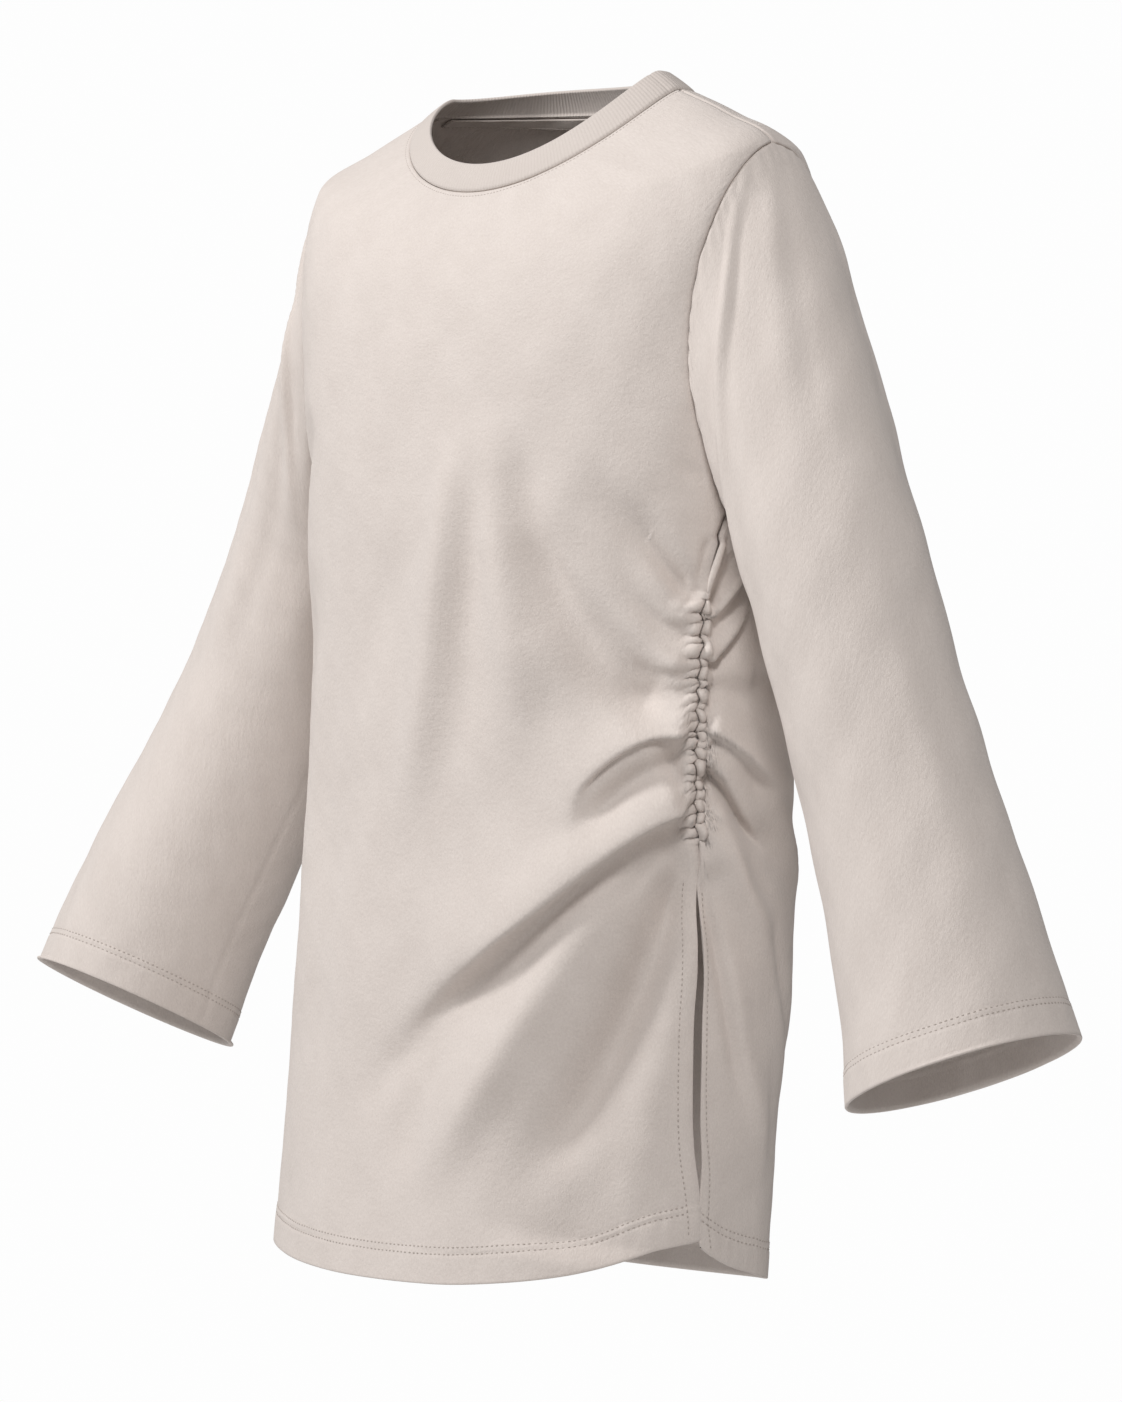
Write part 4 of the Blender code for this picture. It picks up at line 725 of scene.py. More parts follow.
def sleeve_surface(arm, side, table, cuff_axis):
    """Middle surface of a sleeve [round, row], with the shares of its length."""
    phi = np.arange(N_ROUND) * 360.0 / N_ROUND
    fr = phi <= 180
    q = np.where(fr, 1 - phi / 180, phi / 180 - 1)
    pf, pb = arm(ARM_FRONT, q), arm(ARM_BACK, q)
    seam = np.where(fr[:, None], pf, pb)
    start = body_fine(seam[:, 0], seam[:, 1])
    s_tab = np.concatenate([[0], np.cumsum(np.linalg.norm(np.diff(table[:, :3], axis=0), axis=1))])
    tube_long = s_tab[-1]
    s_tab = s_tab / s_tab[-1]

    def tube(s):
        c = np.stack([along(s_tab, table[:, k], s) for k in range(3)])
        e = 0.02
        ax = unit(np.stack([along(s_tab, table[:, k], min(s + e, 1)) for k in range(3)])
                  - np.stack([along(s_tab, table[:, k], max(s - e, 0)) for k in range(3)]))
        turn = float(smooth(s, 1 - CUFF_BLEND, 1.0))
        ax = unit((1 - turn) * ax + turn * unit(np.array(cuff_axis)))
        e1 = np.array([side, 0.0, 0.0])
        e1 = unit(e1 - ax * (e1 @ ax))
        e2 = np.cross(ax, e1)
        if e2[1] > 0:
            e2 = -e2
        rad = along(s_tab, table[:, 3], s) * (1 + along(s_tab, table[:, 4], s)
                                              * np.cos(np.radians(2 * (phi - 45))))
        f = np.radians(phi)[:, None]
        return c + rad[:, None] * (np.cos(f) * e1 + np.sin(f) * e2)

    first, after = tube(0.0), tube(0.06)
    leave = np.stack([along(CAP_LEAVE[:, 0], CAP_LEAVE[:, k], phi) for k in (1, 2, 3)], -1)
    leave = unit(leave * np.array([side, -1.0, 1.0]))
    leave = unit(leave + 0.7 * unit(first - start))
    reach = along(CAP_LEAVE[:, 0], CAP_LEAVE[:, 4], phi)[:, None]
    arrive = unit(after - first)
    away = body_normal_plain(seam[:, 0], seam[:, 1])
    tuck = np.clip(1.5 - np.abs(phi - 180) / 42.0, 0, 1)[:, None]
    out = unit((1 - tuck) * leave + tuck * away) * TURN_OUT
    rows = [start + out * k for k in (0.0, 0.07, 0.15, 0.26, 0.42, 0.62, 0.81)]
    start = start + out
    n_cap = 92
    for t in np.linspace(0, 1, n_cap + 1)[:-1]:
        h00, h10 = 2 * t ** 3 - 3 * t ** 2 + 1, t ** 3 - 2 * t ** 2 + t
        h01, h11 = 3 * t ** 2 - 2 * t ** 3, t ** 3 - t ** 2
        rows.append(h00 * start + h10 * leave * reach + h01 * first + h11 * arrive * reach)
    q_tube = spread(tube_long, lambda x: 0.0016 if x > 1 - 0.030 / tube_long else 0.0037)
    rows += [tube(s) for s in q_tube]
    mid = np.stack(rows, 1)
    # the CAD folds are given by share of the rows of its grid: one strip, the cap, the tube
    share = np.concatenate([np.linspace(0, 1, 8)[:-1],
                            1 + ROWS_CAP * np.linspace(0, 1, n_cap + 1)[:-1],
                            1 + ROWS_CAP + ROWS_TUBE * q_tube]) / (1 + ROWS_CAP + ROWS_TUBE)
    return mid, phi, share


def body_normal_plain(angle, ring):
    e_a, e_r = 0.6, 0.03
    lo, hi = np.clip(ring - e_r, 0, 10), np.clip(ring + e_r, 0, 10)
    return unit(np.cross(form(angle + e_a, ring) - form(angle - e_a, ring),
                         form(angle, hi) - form(angle, lo)))


# finer folds of the sleeves, in the columns of SLEEVE_FOLDS
FINE_SLEEVE = [
    ("tube_a", "left",  30.0,  18.0, 0.40, 0.95,  0.0016, 12.0),
    ("tube_b", "left",  96.0,  86.0, 0.45, 0.98, -0.0014, 14.0),
    ("tube_c", "left", 130.0, 118.0, 0.20, 0.70,  0.0020, 10.0),
    ("under_a", "left", 160.0, 150.0, 0.08, 0.40, -0.0022, 8.0),
    ("under_b", "left", 205.0, 214.0, 0.08, 0.45,  0.0020, 9.0),
    ("cap_a", "right",   34.0,  26.0, 0.07, 0.42, -0.0020, 8.0),
    ("cap_b", "right",   50.0,  40.0, 0.05, 0.50,  0.0020, 7.0),
    ("cap_c", "right",   72.0,  60.0, 0.06, 0.46, -0.0022, 7.0),
    ("cap_d", "right",  104.0,  96.0, 0.10, 0.60, -0.0020, 9.0),
    ("cap_f", "right",  330.0, 342.0, 0.04, 0.50, -0.0018, 8.0),
    ("tube_a", "right",  34.0,  26.0, 0.42, 0.96,  0.0016, 12.0),
    ("tube_b", "right", 110.0, 104.0, 0.45, 0.98,  0.0014, 14.0),
    ("under_a", "right", 164.0, 156.0, 0.08, 0.42, -0.0022, 8.0),
    ("under_b", "right", 202.0, 210.0, 0.08, 0.45,  0.0020, 9.0),
]


# folds along lines (share of length, angle round): height, width before and after in degrees
LINED_SLEEVE = [
    ("front_ridge", "left", [(0.050, 30), (0.083, 47), (0.120, 62), (0.160, 79), (0.197, 94), (0.250, 109),
                             (0.295, 120), (0.352, 125), (0.450, 129)], 0.0030, 9.0, 5.0, 0.25, 0.40),
    ("front_hollow", "left", [(0.050, 22), (0.083, 37), (0.120, 51), (0.160, 67), (0.197, 82), (0.250, 97),
                              (0.295, 108), (0.352, 114)], -0.0012, 8.0, 6.0, 0.25, 0.45),
    ("mid_ridge", "left", [(0.060, 10), (0.120, 24), (0.200, 40), (0.300, 52), (0.400, 58)],
     0.0014, 9.0, 9.0, 0.25, 0.50),
    ("mid_hollow", "left", [(0.060, 2), (0.120, 12), (0.200, 24), (0.300, 36), (0.420, 44)],
     -0.0012, 8.0, 8.0, 0.25, 0.50),
    ("back_edge", "left", [(0.070, 335), (0.091, 329), (0.148, 327), (0.190, 320), (0.230, 318), (0.330, 312)],
     0.0016, 7.0, 6.0, 0.20, 0.40),
    ("inner_draw", "left", [(0.12, 128), (0.22, 132), (0.32, 137), (0.45, 138), (0.60, 138), (0.78, 136)],
     -0.0062, 24.0, 30.0, 0.35, 0.40),
    ("outer_draw", "left", [(0.10, 333), (0.18, 326), (0.25, 331), (0.33, 334), (0.44, 337)],
     -0.0042, 26.0, 26.0, 0.35, 0.40),
    ("front_ridge", "right", [(0.050, 34), (0.090, 52), (0.140, 72), (0.200, 92), (0.270, 108), (0.360, 116)],
     0.0036, 8.0, 6.0, 0.25, 0.40),
    ("back_edge", "right", [(0.070, 332), (0.120, 326), (0.180, 320), (0.250, 316), (0.340, 312)],
     0.0030, 7.0, 6.0, 0.20, 0.40),
]


def sleeve_folds(mid, phi, share, which):
    push = np.zeros(mid.shape[:2])
    length = share[None, :]
    for _, of_side, pts, high, before, after, f0, f1 in LINED_SLEEVE:
        if of_side != which:
            continue
        q = np.array(pts, float)
        t = (length - q[0, 0]) / (q[-1, 0] - q[0, 0])
        d = (phi[:, None] - along(q[:, 0], q[:, 1], length) + 180) % 360 - 180
        push += high * np.exp(-(d / np.where(d < 0, before, after)) ** 2) * window(t, f0, f1)
    for _, of_side, a_top, a_end, s0, s1, high, wide in SLEEVE_FOLDS + FINE_SLEEVE:
        if of_side != which:
            continue
        t = np.clip((length - s0) / (s1 - s0), 0, 1)
        d = (phi[:, None] - (a_top + (a_end - a_top) * t) + 180) % 360 - 180
        ends = window((length - s0) / (s1 - s0), 0.3, 0.3 if s1 < 1 else 0.0)
        push += high * np.exp(-(d / wide) ** 2) * np.where((length >= s0) & (length <= s1), ends, 0)
    return push


def row_length(grid):
    """Distance along each line of rows from row 0."""
    step = np.linalg.norm(np.diff(grid, axis=1), axis=-1)
    return np.concatenate([np.zeros((grid.shape[0], 1)), np.cumsum(step, 1)], 1)


def col_length(grid):
    step = np.linalg.norm(np.diff(grid, axis=0), axis=-1)
    return np.concatenate([np.zeros((1, grid.shape[1])), np.cumsum(step, 0)], 0)


GROOVE, GROOVE_WIDE = 0.0023, 0.0010


def sleeve(arm, side, table, cuff_axis, which):
    mid, phi, share = sleeve_surface(arm, side, table, cuff_axis)
    n = normals(mid, True)
    if np.mean(np.sum(n * (mid - mid.mean(0, keepdims=True)), -1)) < 0:
        n = -n
    push = sleeve_folds(mid, phi, share, which)
    d = row_length(mid)
    edge = d[:, -1:] - d
    under = np.minimum(np.abs(phi - 180), 360 - np.abs(phi - 180))[:, None]
    under = under / 360.0 * 2 * math.pi * np.interp(share, [0, 0.45, 1], [0.06, 0.062, 0.075])[None, :]
    push = push + waves(mid) * smooth(d, 0.004, 0.03) * smooth(edge, 0.0, 0.03) * 1.2
    # puckers where the sleeve head is eased into the armhole
    ph = phi[:, None]
    push = push + 0.00045 * np.sin(ph * 0.62 + 2 * np.sin(ph * 0.11)) * np.exp(-((d - 0.006) / 0.008) ** 2)
    push = push - 0.0010 * np.exp(-(under / 0.0016) ** 2) * smooth(edge, 0.0, 0.004)
    push = push + hem_relief(edge, 0.0232, 0.0036, ph * 0.0075)
    mid = mid + n * push[..., None]
    return mid, phi, share, d, edge


def hem_relief(edge, deep, apart, place):
    """Turned hem: two layers up to the stitches, a furrow under each row of stitches."""
    lift = 0.0005 * (1 - smooth(edge, deep - 0.0005, deep + 0.0012))
    rows = sum(0.00065 * np.exp(-((edge - deep + k) / 0.0009) ** 2) for k in (0.0, apart))
    rope = 0.00022 * np.sin(place * 520 + 1.7 * np.sin(place * 130)) * np.exp(-((edge - deep * 0.62) / 0.012) ** 2)
    return lift - rows + rope


mid_sl, phi_l, share_l, d_sl, edge_sl = sleeve(left_arm, 1.0, SLEEVE_LEFT, CUFF_LEFT_AXIS, "left")
mid_sr, phi_r, share_r, d_sr, edge_sr = sleeve(right_arm, -1.0, SLEEVE_RIGHT, CUFF_RIGHT_AXIS, "right")


def outward(n, grid):
    c = grid.mean((0, 1))
    return -n if np.mean(np.sum(n * (grid - c) * np.array([1, 1, 0]), -1)) < 0 else n


nor_sl = normals(mid_sl, True)
nor_sr = normals(mid_sr, True)
if np.mean(np.sum(nor_sl * (mid_sl - mid_sl.mean(0, keepdims=True)), -1)) < 0:
    nor_sl = -nor_sl
if np.mean(np.sum(nor_sr * (mid_sr - mid_sr.mean(0, keepdims=True)), -1)) < 0:
    nor_sr = -nor_sr


# ---------------------------------------------------------------- seams and hems of the panels
def armhole_normals(nor, q, front):
    """Normals of a sleeve beside its seam, at shares q of the front or back armhole."""
    phi = (1 - q) * 180.0 if front else (1 + q) * 180.0
    tab = np.concatenate([nor[:, 1], nor[:1, 1]])
    x = np.concatenate([np.arange(N_ROUND) * 360.0 / N_ROUND, [360.0]])
    return unit(np.stack([np.interp(phi, x, tab[:, k]) for k in range(3)], -1))


def finish_panel(mid, grid, front):
    """Adds seam grooves, hem and slit relief; returns middle surface, offsets and distances."""
    n = normals(mid)
    if np.mean(np.sum(n * (mid * np.array([1, 1, 0])), -1)) < 0:
        n = -n
    across = col_length(mid)
    from_first, from_last = across, across[-1:] - across
    up = row_length(mid)
    from_hem, from_neck = up, up[:, -1:] - up
    rows = np.arange(mid.shape[1])
    on_arm = (rows >= N_SIDE) & (rows <= N_SIDE + N_ARM)
    ring_first, ring_last = grid[0, :, 1], grid[-1, :, 1]
    push = np.zeros(mid.shape[:2])
    slit_first = (not front) & (ring_first < SLIT_TOP)
    slit_last = front & (ring_last < SLIT_TOP)
    for dist, slit in ((from_first, slit_first), (from_last, slit_last)):
        seam = np.where(slit | on_arm, 0.0, 1.0)[None, :]
        if (front and dist is from_last) or (not front and dist is from_first):
            z_seam = along(RINGS[:, 0], RINGS[:, 2], grid[-1 if front else 0, :, 1])
            seam = seam * (1 - 0.80 * ((z_seam > STRIP_END) & (z_seam < STRIP_TOP)))[None, :]
        push -= GROOVE * seam * np.exp(-(dist / GROOVE_WIDE) ** 2)
        # the slit edge is turned in and stitched down 9 mm inside
        s = slit[None, :] * smooth(from_hem, 0.0, 0.012)
        push += s * (0.0004 * (1 - smooth(dist, 0.0085, 0.0105))
                     - 0.0004 * np.exp(-((dist - 0.0092) / 0.0008) ** 2))
    push -= 0.0013 * np.exp(-(from_neck / 0.0011) ** 2)
    push -= 0.00035 * np.exp(-((from_neck - 0.0034) / 0.0009) ** 2)
    push += hem_relief(from_hem, HEM_DEEP, ROW_APART, grid[..., 0] * METRE_PER_DEG)
    place = up.copy()
    push += np.where(on_arm, 1, 0)[None, :] * 0.00035 * np.sin(place * 760 + 1.5 * np.sin(place * 210)) * (
        np.exp(-((from_first - 0.006) / 0.007) ** 2) + np.exp(-((from_last - 0.006) / 0.007) ** 2))
    mid = mid + n * push[..., None]
    return mid, n, from_first, from_last, from_hem, from_neck


mid_front, nor_front, f_first, f_last, f_hem, f_neck = finish_panel(mid_front, grid_front, True)
mid_back, nor_back, b_first, b_last, b_hem, b_neck = finish_panel(mid_back, grid_back, False)


def shared(a, b):
    m = unit(a + b)
    return m / np.clip(np.sum(m * a, -1, keepdims=True), 0.75, 1.0)


arm_rows = slice(N_SIDE, N_SIDE + N_ARM + 1)
off_front, off_back = nor_front.copy(), nor_back.copy()
for off, nor, col, sl, isf in ((off_front, nor_front, -1, nor_sl, True), (off_back, nor_back, 0, nor_sl, False),
                               (off_front, nor_front, 0, nor_sr, True), (off_back, nor_back, -1, nor_sr, False)):
    off[col, arm_rows] = shared(nor[col, arm_rows], armhole_normals(sl, Q_ARM, isf))
for mid, off, col, dist in ((mid_front, off_front, -1, f_last), (mid_back, off_back, 0, b_first),
                            (mid_front, off_front, 0, f_first), (mid_back, off_back, -1, b_last)):
    drop = GROOVE * np.exp(-(dist[:, arm_rows] / GROOVE_WIDE) ** 2)
    mid[:, arm_rows] -= off[col, arm_rows][None] * drop[..., None]
# side and shoulder seams: both panels share one direction where they meet
for a, b in ((-1, 0), (0, -1)):
    rows_of = np.ones(mid_front.shape[1], bool)
    rows_of[arm_rows] = False
    if a == -1:
        rows_of &= grid_front[-1, :, 1] > SLIT_TOP
    both = unit(nor_front[a] + nor_back[b])
    off_front[a, rows_of] = both[rows_of]
    off_back[b, rows_of] = both[rows_of]


def sleeve_offsets(nor, arm, side):
    off = nor.copy()
    phi = np.arange(N_ROUND) * 360.0 / N_ROUND
    fr = phi <= 180
    q = np.where(fr, 1 - phi / 180, phi / 180 - 1)
    seam = np.where(fr[:, None], arm(ARM_FRONT, q), arm(ARM_BACK, q))
    off[:, 0] = shared(body_normal_plain(seam[:, 0], seam[:, 1]), nor[:, 1])
    return off


off_sl = sleeve_offsets(nor_sl, left_arm, 1.0)
off_sr = sleeve_offsets(nor_sr, right_arm, -1.0)
# the first row of a sleeve drops into the seam with the panels
for mid, off, d in ((mid_sl, off_sl, d_sl), (mid_sr, off_sr, d_sr)):
    mid -= off[:, :1] * (GROOVE * np.exp(-(d / GROOVE_WIDE) ** 2))[..., None]


# ---------------------------------------------------------------- neckband
N_BAND = 420
band_angle = np.concatenate([np.linspace(neck_r, neck_l, 211), np.linspace(neck_l, 360 + neck_r, 211)[1:-1]])
N_BAND = len(band_angle)
low_ring = form(band_angle, np.full(N_BAND, 10.0))
top_ring = ring_form(band_angle, BAND_TOP[1:], BAND_FALL)
rows_t = np.concatenate([[0.0, 0.03, 0.07, 0.13], np.linspace(0.2, 0.86, 9), [0.91, 0.95, 0.98, 1.0]])
band = []
for t in rows_t:
    p = (1 - t) * low_ring + t * top_ring
    away = unit(p * np.array([1.0, 1.0, 0.0]))
    band.append(p + away * 0.0008 * 4 * t * (1 - t))
mid_band = np.stack(band, 1)
nor_band = normals(mid_band, True)
if np.mean(np.sum(nor_band * (mid_band * np.array([1, 1, 0])), -1)) < 0:
    nor_band = -nor_band
d_band = row_length(mid_band)
arc_band = np.concatenate([[0], np.cumsum(np.linalg.norm(np.diff(low_ring, axis=0), axis=1))])
push = -0.0012 * np.exp(-(d_band / 0.0009) ** 2)
# the band's own join, in front of the left shoulder seam
join = (band_angle - 84.0) * 0.0019
push = push - 0.0007 * np.exp(-(join / 0.0011) ** 2)[:, None]
mid_band = mid_band + nor_band * push[..., None]
off_band = nor_band.copy()


def neck_normals(angle):
    """Normals of the panels at the neck seam."""
    return body_normal_plain(angle, np.full(len(angle), 10.0))


off_band[:, 0] = shared(neck_normals(band_angle), nor_band[:, 0])
for off, nor, g in ((off_front, nor_front, grid_front), (off_back, nor_back, grid_back)):
    a = g[:, -1, 0]
    tab = np.concatenate([nor_band[:, 0], nor_band[:1, 0]])
    x = np.concatenate([band_angle, [band_angle[0] + 360]])
    aa = np.where(a < x[0], a + 360, a)
    nb = unit(np.stack([np.interp(aa, x, tab[:, k]) for k in range(3)], -1))
    off[:, -1] = shared(nor[:, -1], nb)


# ---------------------------------------------------------------- meshes
def make(name, verts, faces, uv=None, mats=(), smooth_shade=True, turn=0.0):
    me = bpy.data.meshes.new(name)
    me.from_pydata(verts.tolist(), [], faces.tolist() if hasattr(faces, "tolist") else faces)
    if uv is not None:
        lay = me.uv_layers.new(name="cloth")
        idx = np.empty(len(me.loops), np.int32)
        me.loops.foreach_get("vertex_index", idx)
        at = uv[idx]
        if turn:
            # faces that close a tube carry on past its length instead of running back
            start = np.empty(len(me.polygons), np.int32)
            count = np.empty(len(me.polygons), np.int32)
            me.polygons.foreach_get("loop_start", start)
            me.polygons.foreach_get("loop_total", count)
            hi = np.maximum.reduceat(at[:, 0], start)
            lo = np.minimum.reduceat(at[:, 0], start)
            over = np.repeat((hi - lo) > 0.5 * turn, count)
            at = at + np.where(over & (at[:, 0] < 0.5 * turn), turn, 0.0)[:, None] * np.array([1.0, 0.0])
        lay.data.foreach_set("uv", np.ascontiguousarray(at, np.float32).reshape(-1))
    me.polygons.foreach_set("use_smooth", np.full(len(me.polygons), smooth_shade))
    for m in mats:
        me.materials.append(m)
    me.update()
    ob = bpy.data.objects.new(name, me)
    bpy.context.scene.collection.objects.link(ob)
    return ob


def shell(name, mid, off, uv, mats, out_thick, in_thick, wrap=False, round_rows=(False, False),
          round_cols=(None, None)):
    """Closed cloth round a middle surface [round, row]; out_thick and in_thick are its depths."""
    nu, nv = mid.shape[:2]
    outer = mid + off * np.asarray(out_thick)[..., None]
    inner = mid - off * np.asarray(in_thick)[..., None]
    k = nu * nv
    verts = [outer.reshape(-1, 3), inner.reshape(-1, 3)]
    uvs = [uv.reshape(-1, 2), uv.reshape(-1, 2)]
    idx = np.arange(k).reshape(nu, nv)
    nxt = np.roll(idx, -1, 0) if wrap else idx[1:]
    cur = idx if wrap else idx[:-1]
    a, b, c, d = cur[:, :-1], nxt[:, :-1], nxt[:, 1:], cur[:, 1:]
    q_out = np.stack([a, b, c, d], -1).reshape(-1, 4)
    q_in = np.stack([a, d, c, b], -1).reshape(-1, 4) + k
    faces = [q_out, q_in]
    base = 2 * k

    def rim(line, way, rounded, flip):
        nonlocal base
        n = len(line)
        loop = wrap and way is not None and n == nu
        ends = np.arange(n if loop else n - 1)
        nx = (ends + 1) % n
        o, i = line, line + k
        if rounded is None or not np.any(rounded):
            f = np.stack([o[ends], i[ends], i[nx], o[nx]], -1)
        else:
            po, pi = verts[0][line], verts[1][line]
            bulge = (np.linalg.norm(po - pi, axis=1) * 0.42)[:, None] * way * np.asarray(rounded, float).reshape(-1, 1)
            m1, m2 = 0.78 * po + 0.22 * pi + bulge * 0.75, 0.22 * po + 0.78 * pi + bulge * 0.75
            verts.append(m1)
            verts.append(m2)
            uvs.append(uvs[0][line])
            uvs.append(uvs[0][line])
            j1, j2 = base + np.arange(n), base + n + np.arange(n)
            base += 2 * n
            f = np.concatenate([np.stack([p[ends], q[ends], q[nx], p[nx]], -1)
                                for p, q in ((o, j1), (j1, j2), (j2, i))])
        faces.append(f[:, ::-1] if flip else f)

    rim(idx[:, 0], unit(mid[:, 0] - mid[:, 1]), 1.0 if round_rows[0] else None, False)
    rim(idx[:, -1], unit(mid[:, -1] - mid[:, -2]), 1.0 if round_rows[1] else None, True)
    if not wrap:
        rim(idx[0], unit(mid[0] - mid[1]), round_cols[0], True)
        rim(idx[-1], unit(mid[-1] - mid[-2]), round_cols[1], False)
    v = np.concatenate(verts)
    f = np.concatenate(faces)
    p = v[f]
    vol = np.sum(np.cross(p[:, 0], p[:, 1]) * p[:, 2]) + np.sum(np.cross(p[:, 0], p[:, 2]) * p[:, 3])
    if vol < 0:
        f = f[:, ::-1]
    return make(name, v, f, np.concatenate(uvs), mats, turn=float(uv[..., 0].max()) if wrap else 0.0)


# ---------------------------------------------------------------- materials
def node_material(name):
    m = bpy.data.materials.new(name)
    m.use_nodes = True
    nt = m.node_tree
    bsdf = next(n for n in nt.nodes if n.type == "BSDF_PRINCIPLED")
    return m, nt, bsdf


def fabric(name, colour, other, rough, grain, nap, ribs=0.0, relief=0.35):
    """Knitted cloth on UV in metres: slight mottling, fine wales, a brushed nap."""
    m, nt, bsdf = node_material(name)
    uv = nt.nodes.new("ShaderNodeTexCoord")

    def noise(sx, sy, detail, rough_of):
        mp = nt.nodes.new("ShaderNodeMapping")
        mp.inputs["Scale"].default_value = (sx, sy, 1.0)
        nt.links.new(uv.outputs["UV"], mp.inputs["Vector"])
        no = nt.nodes.new("ShaderNodeTexNoise")
        no.inputs["Scale"].default_value = 1.0
        no.inputs["Detail"].default_value = detail
        no.inputs["Roughness"].default_value = rough_of
        nt.links.new(mp.outputs["Vector"], no.inputs["Vector"])
        return no.outputs[0]

    mottle = noise(34.0, 26.0, 6.0, 0.68)
    speck = noise(760.0, 520.0, 2.0, 0.6)
    add = nt.nodes.new("ShaderNodeMath")
    add.operation = "MULTIPLY_ADD"
    add.inputs[1].default_value = 0.55
    nt.links.new(speck, add.inputs[0])
    half = nt.nodes.new("ShaderNodeMath")
    half.operation = "MULTIPLY"
    half.inputs[1].default_value = 0.45
    nt.links.new(mottle, half.inputs[0])
    nt.links.new(half.outputs[0], add.inputs[2])
    ramp = nt.nodes.new("ShaderNodeValToRGB")
    ramp.color_ramp.elements[0].position = 0.34
    ramp.color_ramp.elements[0].color = (*other, 1.0)
    ramp.color_ramp.elements[1].position = 0.66
    ramp.color_ramp.elements[1].color = (*colour, 1.0)
    nt.links.new(add.outputs[0], ramp.inputs["Fac"])
    nt.links.new(ramp.outputs["Color"], bsdf.inputs["Base Color"])
    bsdf.inputs["Roughness"].default_value = rough
    bsdf.inputs["Sheen Weight"].default_value = 0.18
    bsdf.inputs["Sheen Roughness"].default_value = 0.6
    bsdf.inputs["Specular IOR Level"].default_value = 0.25
    # nap and wales
    fine = noise(grain, grain * 0.45, 3.0, 0.65)
    coarse = noise(nap, nap * 0.8, 3.0, 0.6)
    mix = nt.nodes.new("ShaderNodeMath")
    mix.operation = "MULTIPLY_ADD"
    mix.inputs[1].default_value = 0.7
    nt.links.new(fine, mix.inputs[0])
    nt.links.new(coarse, mix.inputs[2])
    height = mix.outputs[0]
    if ribs:
        mp = nt.nodes.new("ShaderNodeMapping")
        mp.inputs["Scale"].default_value = (ribs, ribs, 1.0)
        nt.links.new(uv.outputs["UV"], mp.inputs["Vector"])
        wave = nt.nodes.new("ShaderNodeTexWave")
        wave.wave_type = "BANDS"
        wave.bands_direction = "X"
        wave.inputs["Scale"].default_value = 1.0
        wave.inputs["Distortion"].default_value = 0.6
        nt.links.new(mp.outputs["Vector"], wave.inputs["Vector"])
        both = nt.nodes.new("ShaderNodeMath")
        both.operation = "MULTIPLY_ADD"
        both.inputs[1].default_value = 1.1
        nt.links.new(wave.outputs["Fac"], both.inputs[0])
        nt.links.new(height, both.inputs[2])
        height = both.outputs[0]
    bump = nt.nodes.new("ShaderNodeBump")
    bump.inputs["Strength"].default_value = relief
    bump.inputs["Distance"].default_value = 0.0006
    nt.links.new(height, bump.inputs["Height"])
    nt.links.new(bump.outputs["Normal"], bsdf.inputs["Normal"])
    m.diffuse_color = (*colour, 1.0)
    return m


JERSEY = fabric("jersey_brushed", (0.678, 0.614, 0.574), (0.596, 0.533, 0.494), 0.95, 1150.0, 240.0, relief=0.75)
RIB = fabric("rib_knit", (0.588, 0.530, 0.493), (0.550, 0.493, 0.456), 0.93, 1400.0, 300.0, ribs=120.0)
TAPE = fabric("tape_woven", (0.600, 0.540, 0.500), (0.560, 0.500, 0.462), 0.88, 1800.0, 500.0)
# stitch thread: the real thread is the jersey's colour; the darker base colour below is painted shade of the stitch
# furrows and the stitches' own shadow
THREAD_PAINTED_SHADE, _nt, _b = node_material("thread_painted_shade")
_b.inputs["Base Color"].default_value = (0.430, 0.378, 0.343, 1.0)
_b.inputs["Roughness"].default_value = 0.75
_b.inputs["Sheen Weight"].default_value = 0.1

# ---------------------------------------------------------------- cloth pieces
HALF = WALL / 2
flat = lambda g: arc_point(g[..., 0], g[..., 1])


def inside(edge, deep):
    """Depth of the inner face: the turned hem lies doubled inside."""
    return HALF * (1 + 0.0) + 0.0011 * (1 - smooth(edge, deep + 0.0030, deep + 0.0042)) * smooth(edge, 0.0, 0.0015)


ring_last = grid_front[-1, :, 1]
slit_row_f = (grid_front[-1, :, 1] < SLIT_TOP - 0.01).astype(float)
slit_row_b = (grid_back[0, :, 1] < SLIT_TOP - 0.01).astype(float)
# the inner layer near the slit edge is doubled too, fading at the hem corner
in_f = np.maximum(inside(f_hem, HEM_DEEP),
                  HALF + 0.0009 * slit_row_f[None] * (1 - smooth(f_last, 0.0105, 0.0115)) * smooth(f_last, 0.0, 0.0015))
in_b = np.maximum(inside(b_hem, HEM_DEEP),
                  HALF + 0.0009 * slit_row_b[None] * (1 - smooth(b_first, 0.0105, 0.0115)) * smooth(b_first, 0.0, 0.0015))
out_f = np.full(in_f.shape, HALF)
out_b = np.full(in_b.shape, HALF)


def gap(mid, cols):
    """Draws seam columns back by half of the seam gap."""
    for i, k in cols:
        mid[i] += unit(mid[k] - mid[i]) * (SEAM_GAP * 0.4)
    return mid


mid_front = gap(mid_front, ((0, 1), (-1, -2)))
mid_back = gap(mid_back, ((0, 1), (-1, -2)))
front = shell("cloth_front", mid_front, off_front, flat(grid_front), [JERSEY], out_f, in_f,
              round_rows=(True, False), round_cols=(None, slit_row_f))
back = shell("cloth_back", mid_back, off_back, flat(grid_back), [JERSEY], out_b, in_b,
             round_rows=(True, False), round_cols=(slit_row_b, None))


def sleeve_uv(phi, d):
    return np.stack([np.broadcast_to((phi / 360.0 * 0.43)[:, None], d.shape), d], -1)


def draw_first(mid):
    mid[:, 0] += unit(mid[:, 1] - mid[:, 0]) * (SEAM_GAP * 0.9)
    return mid


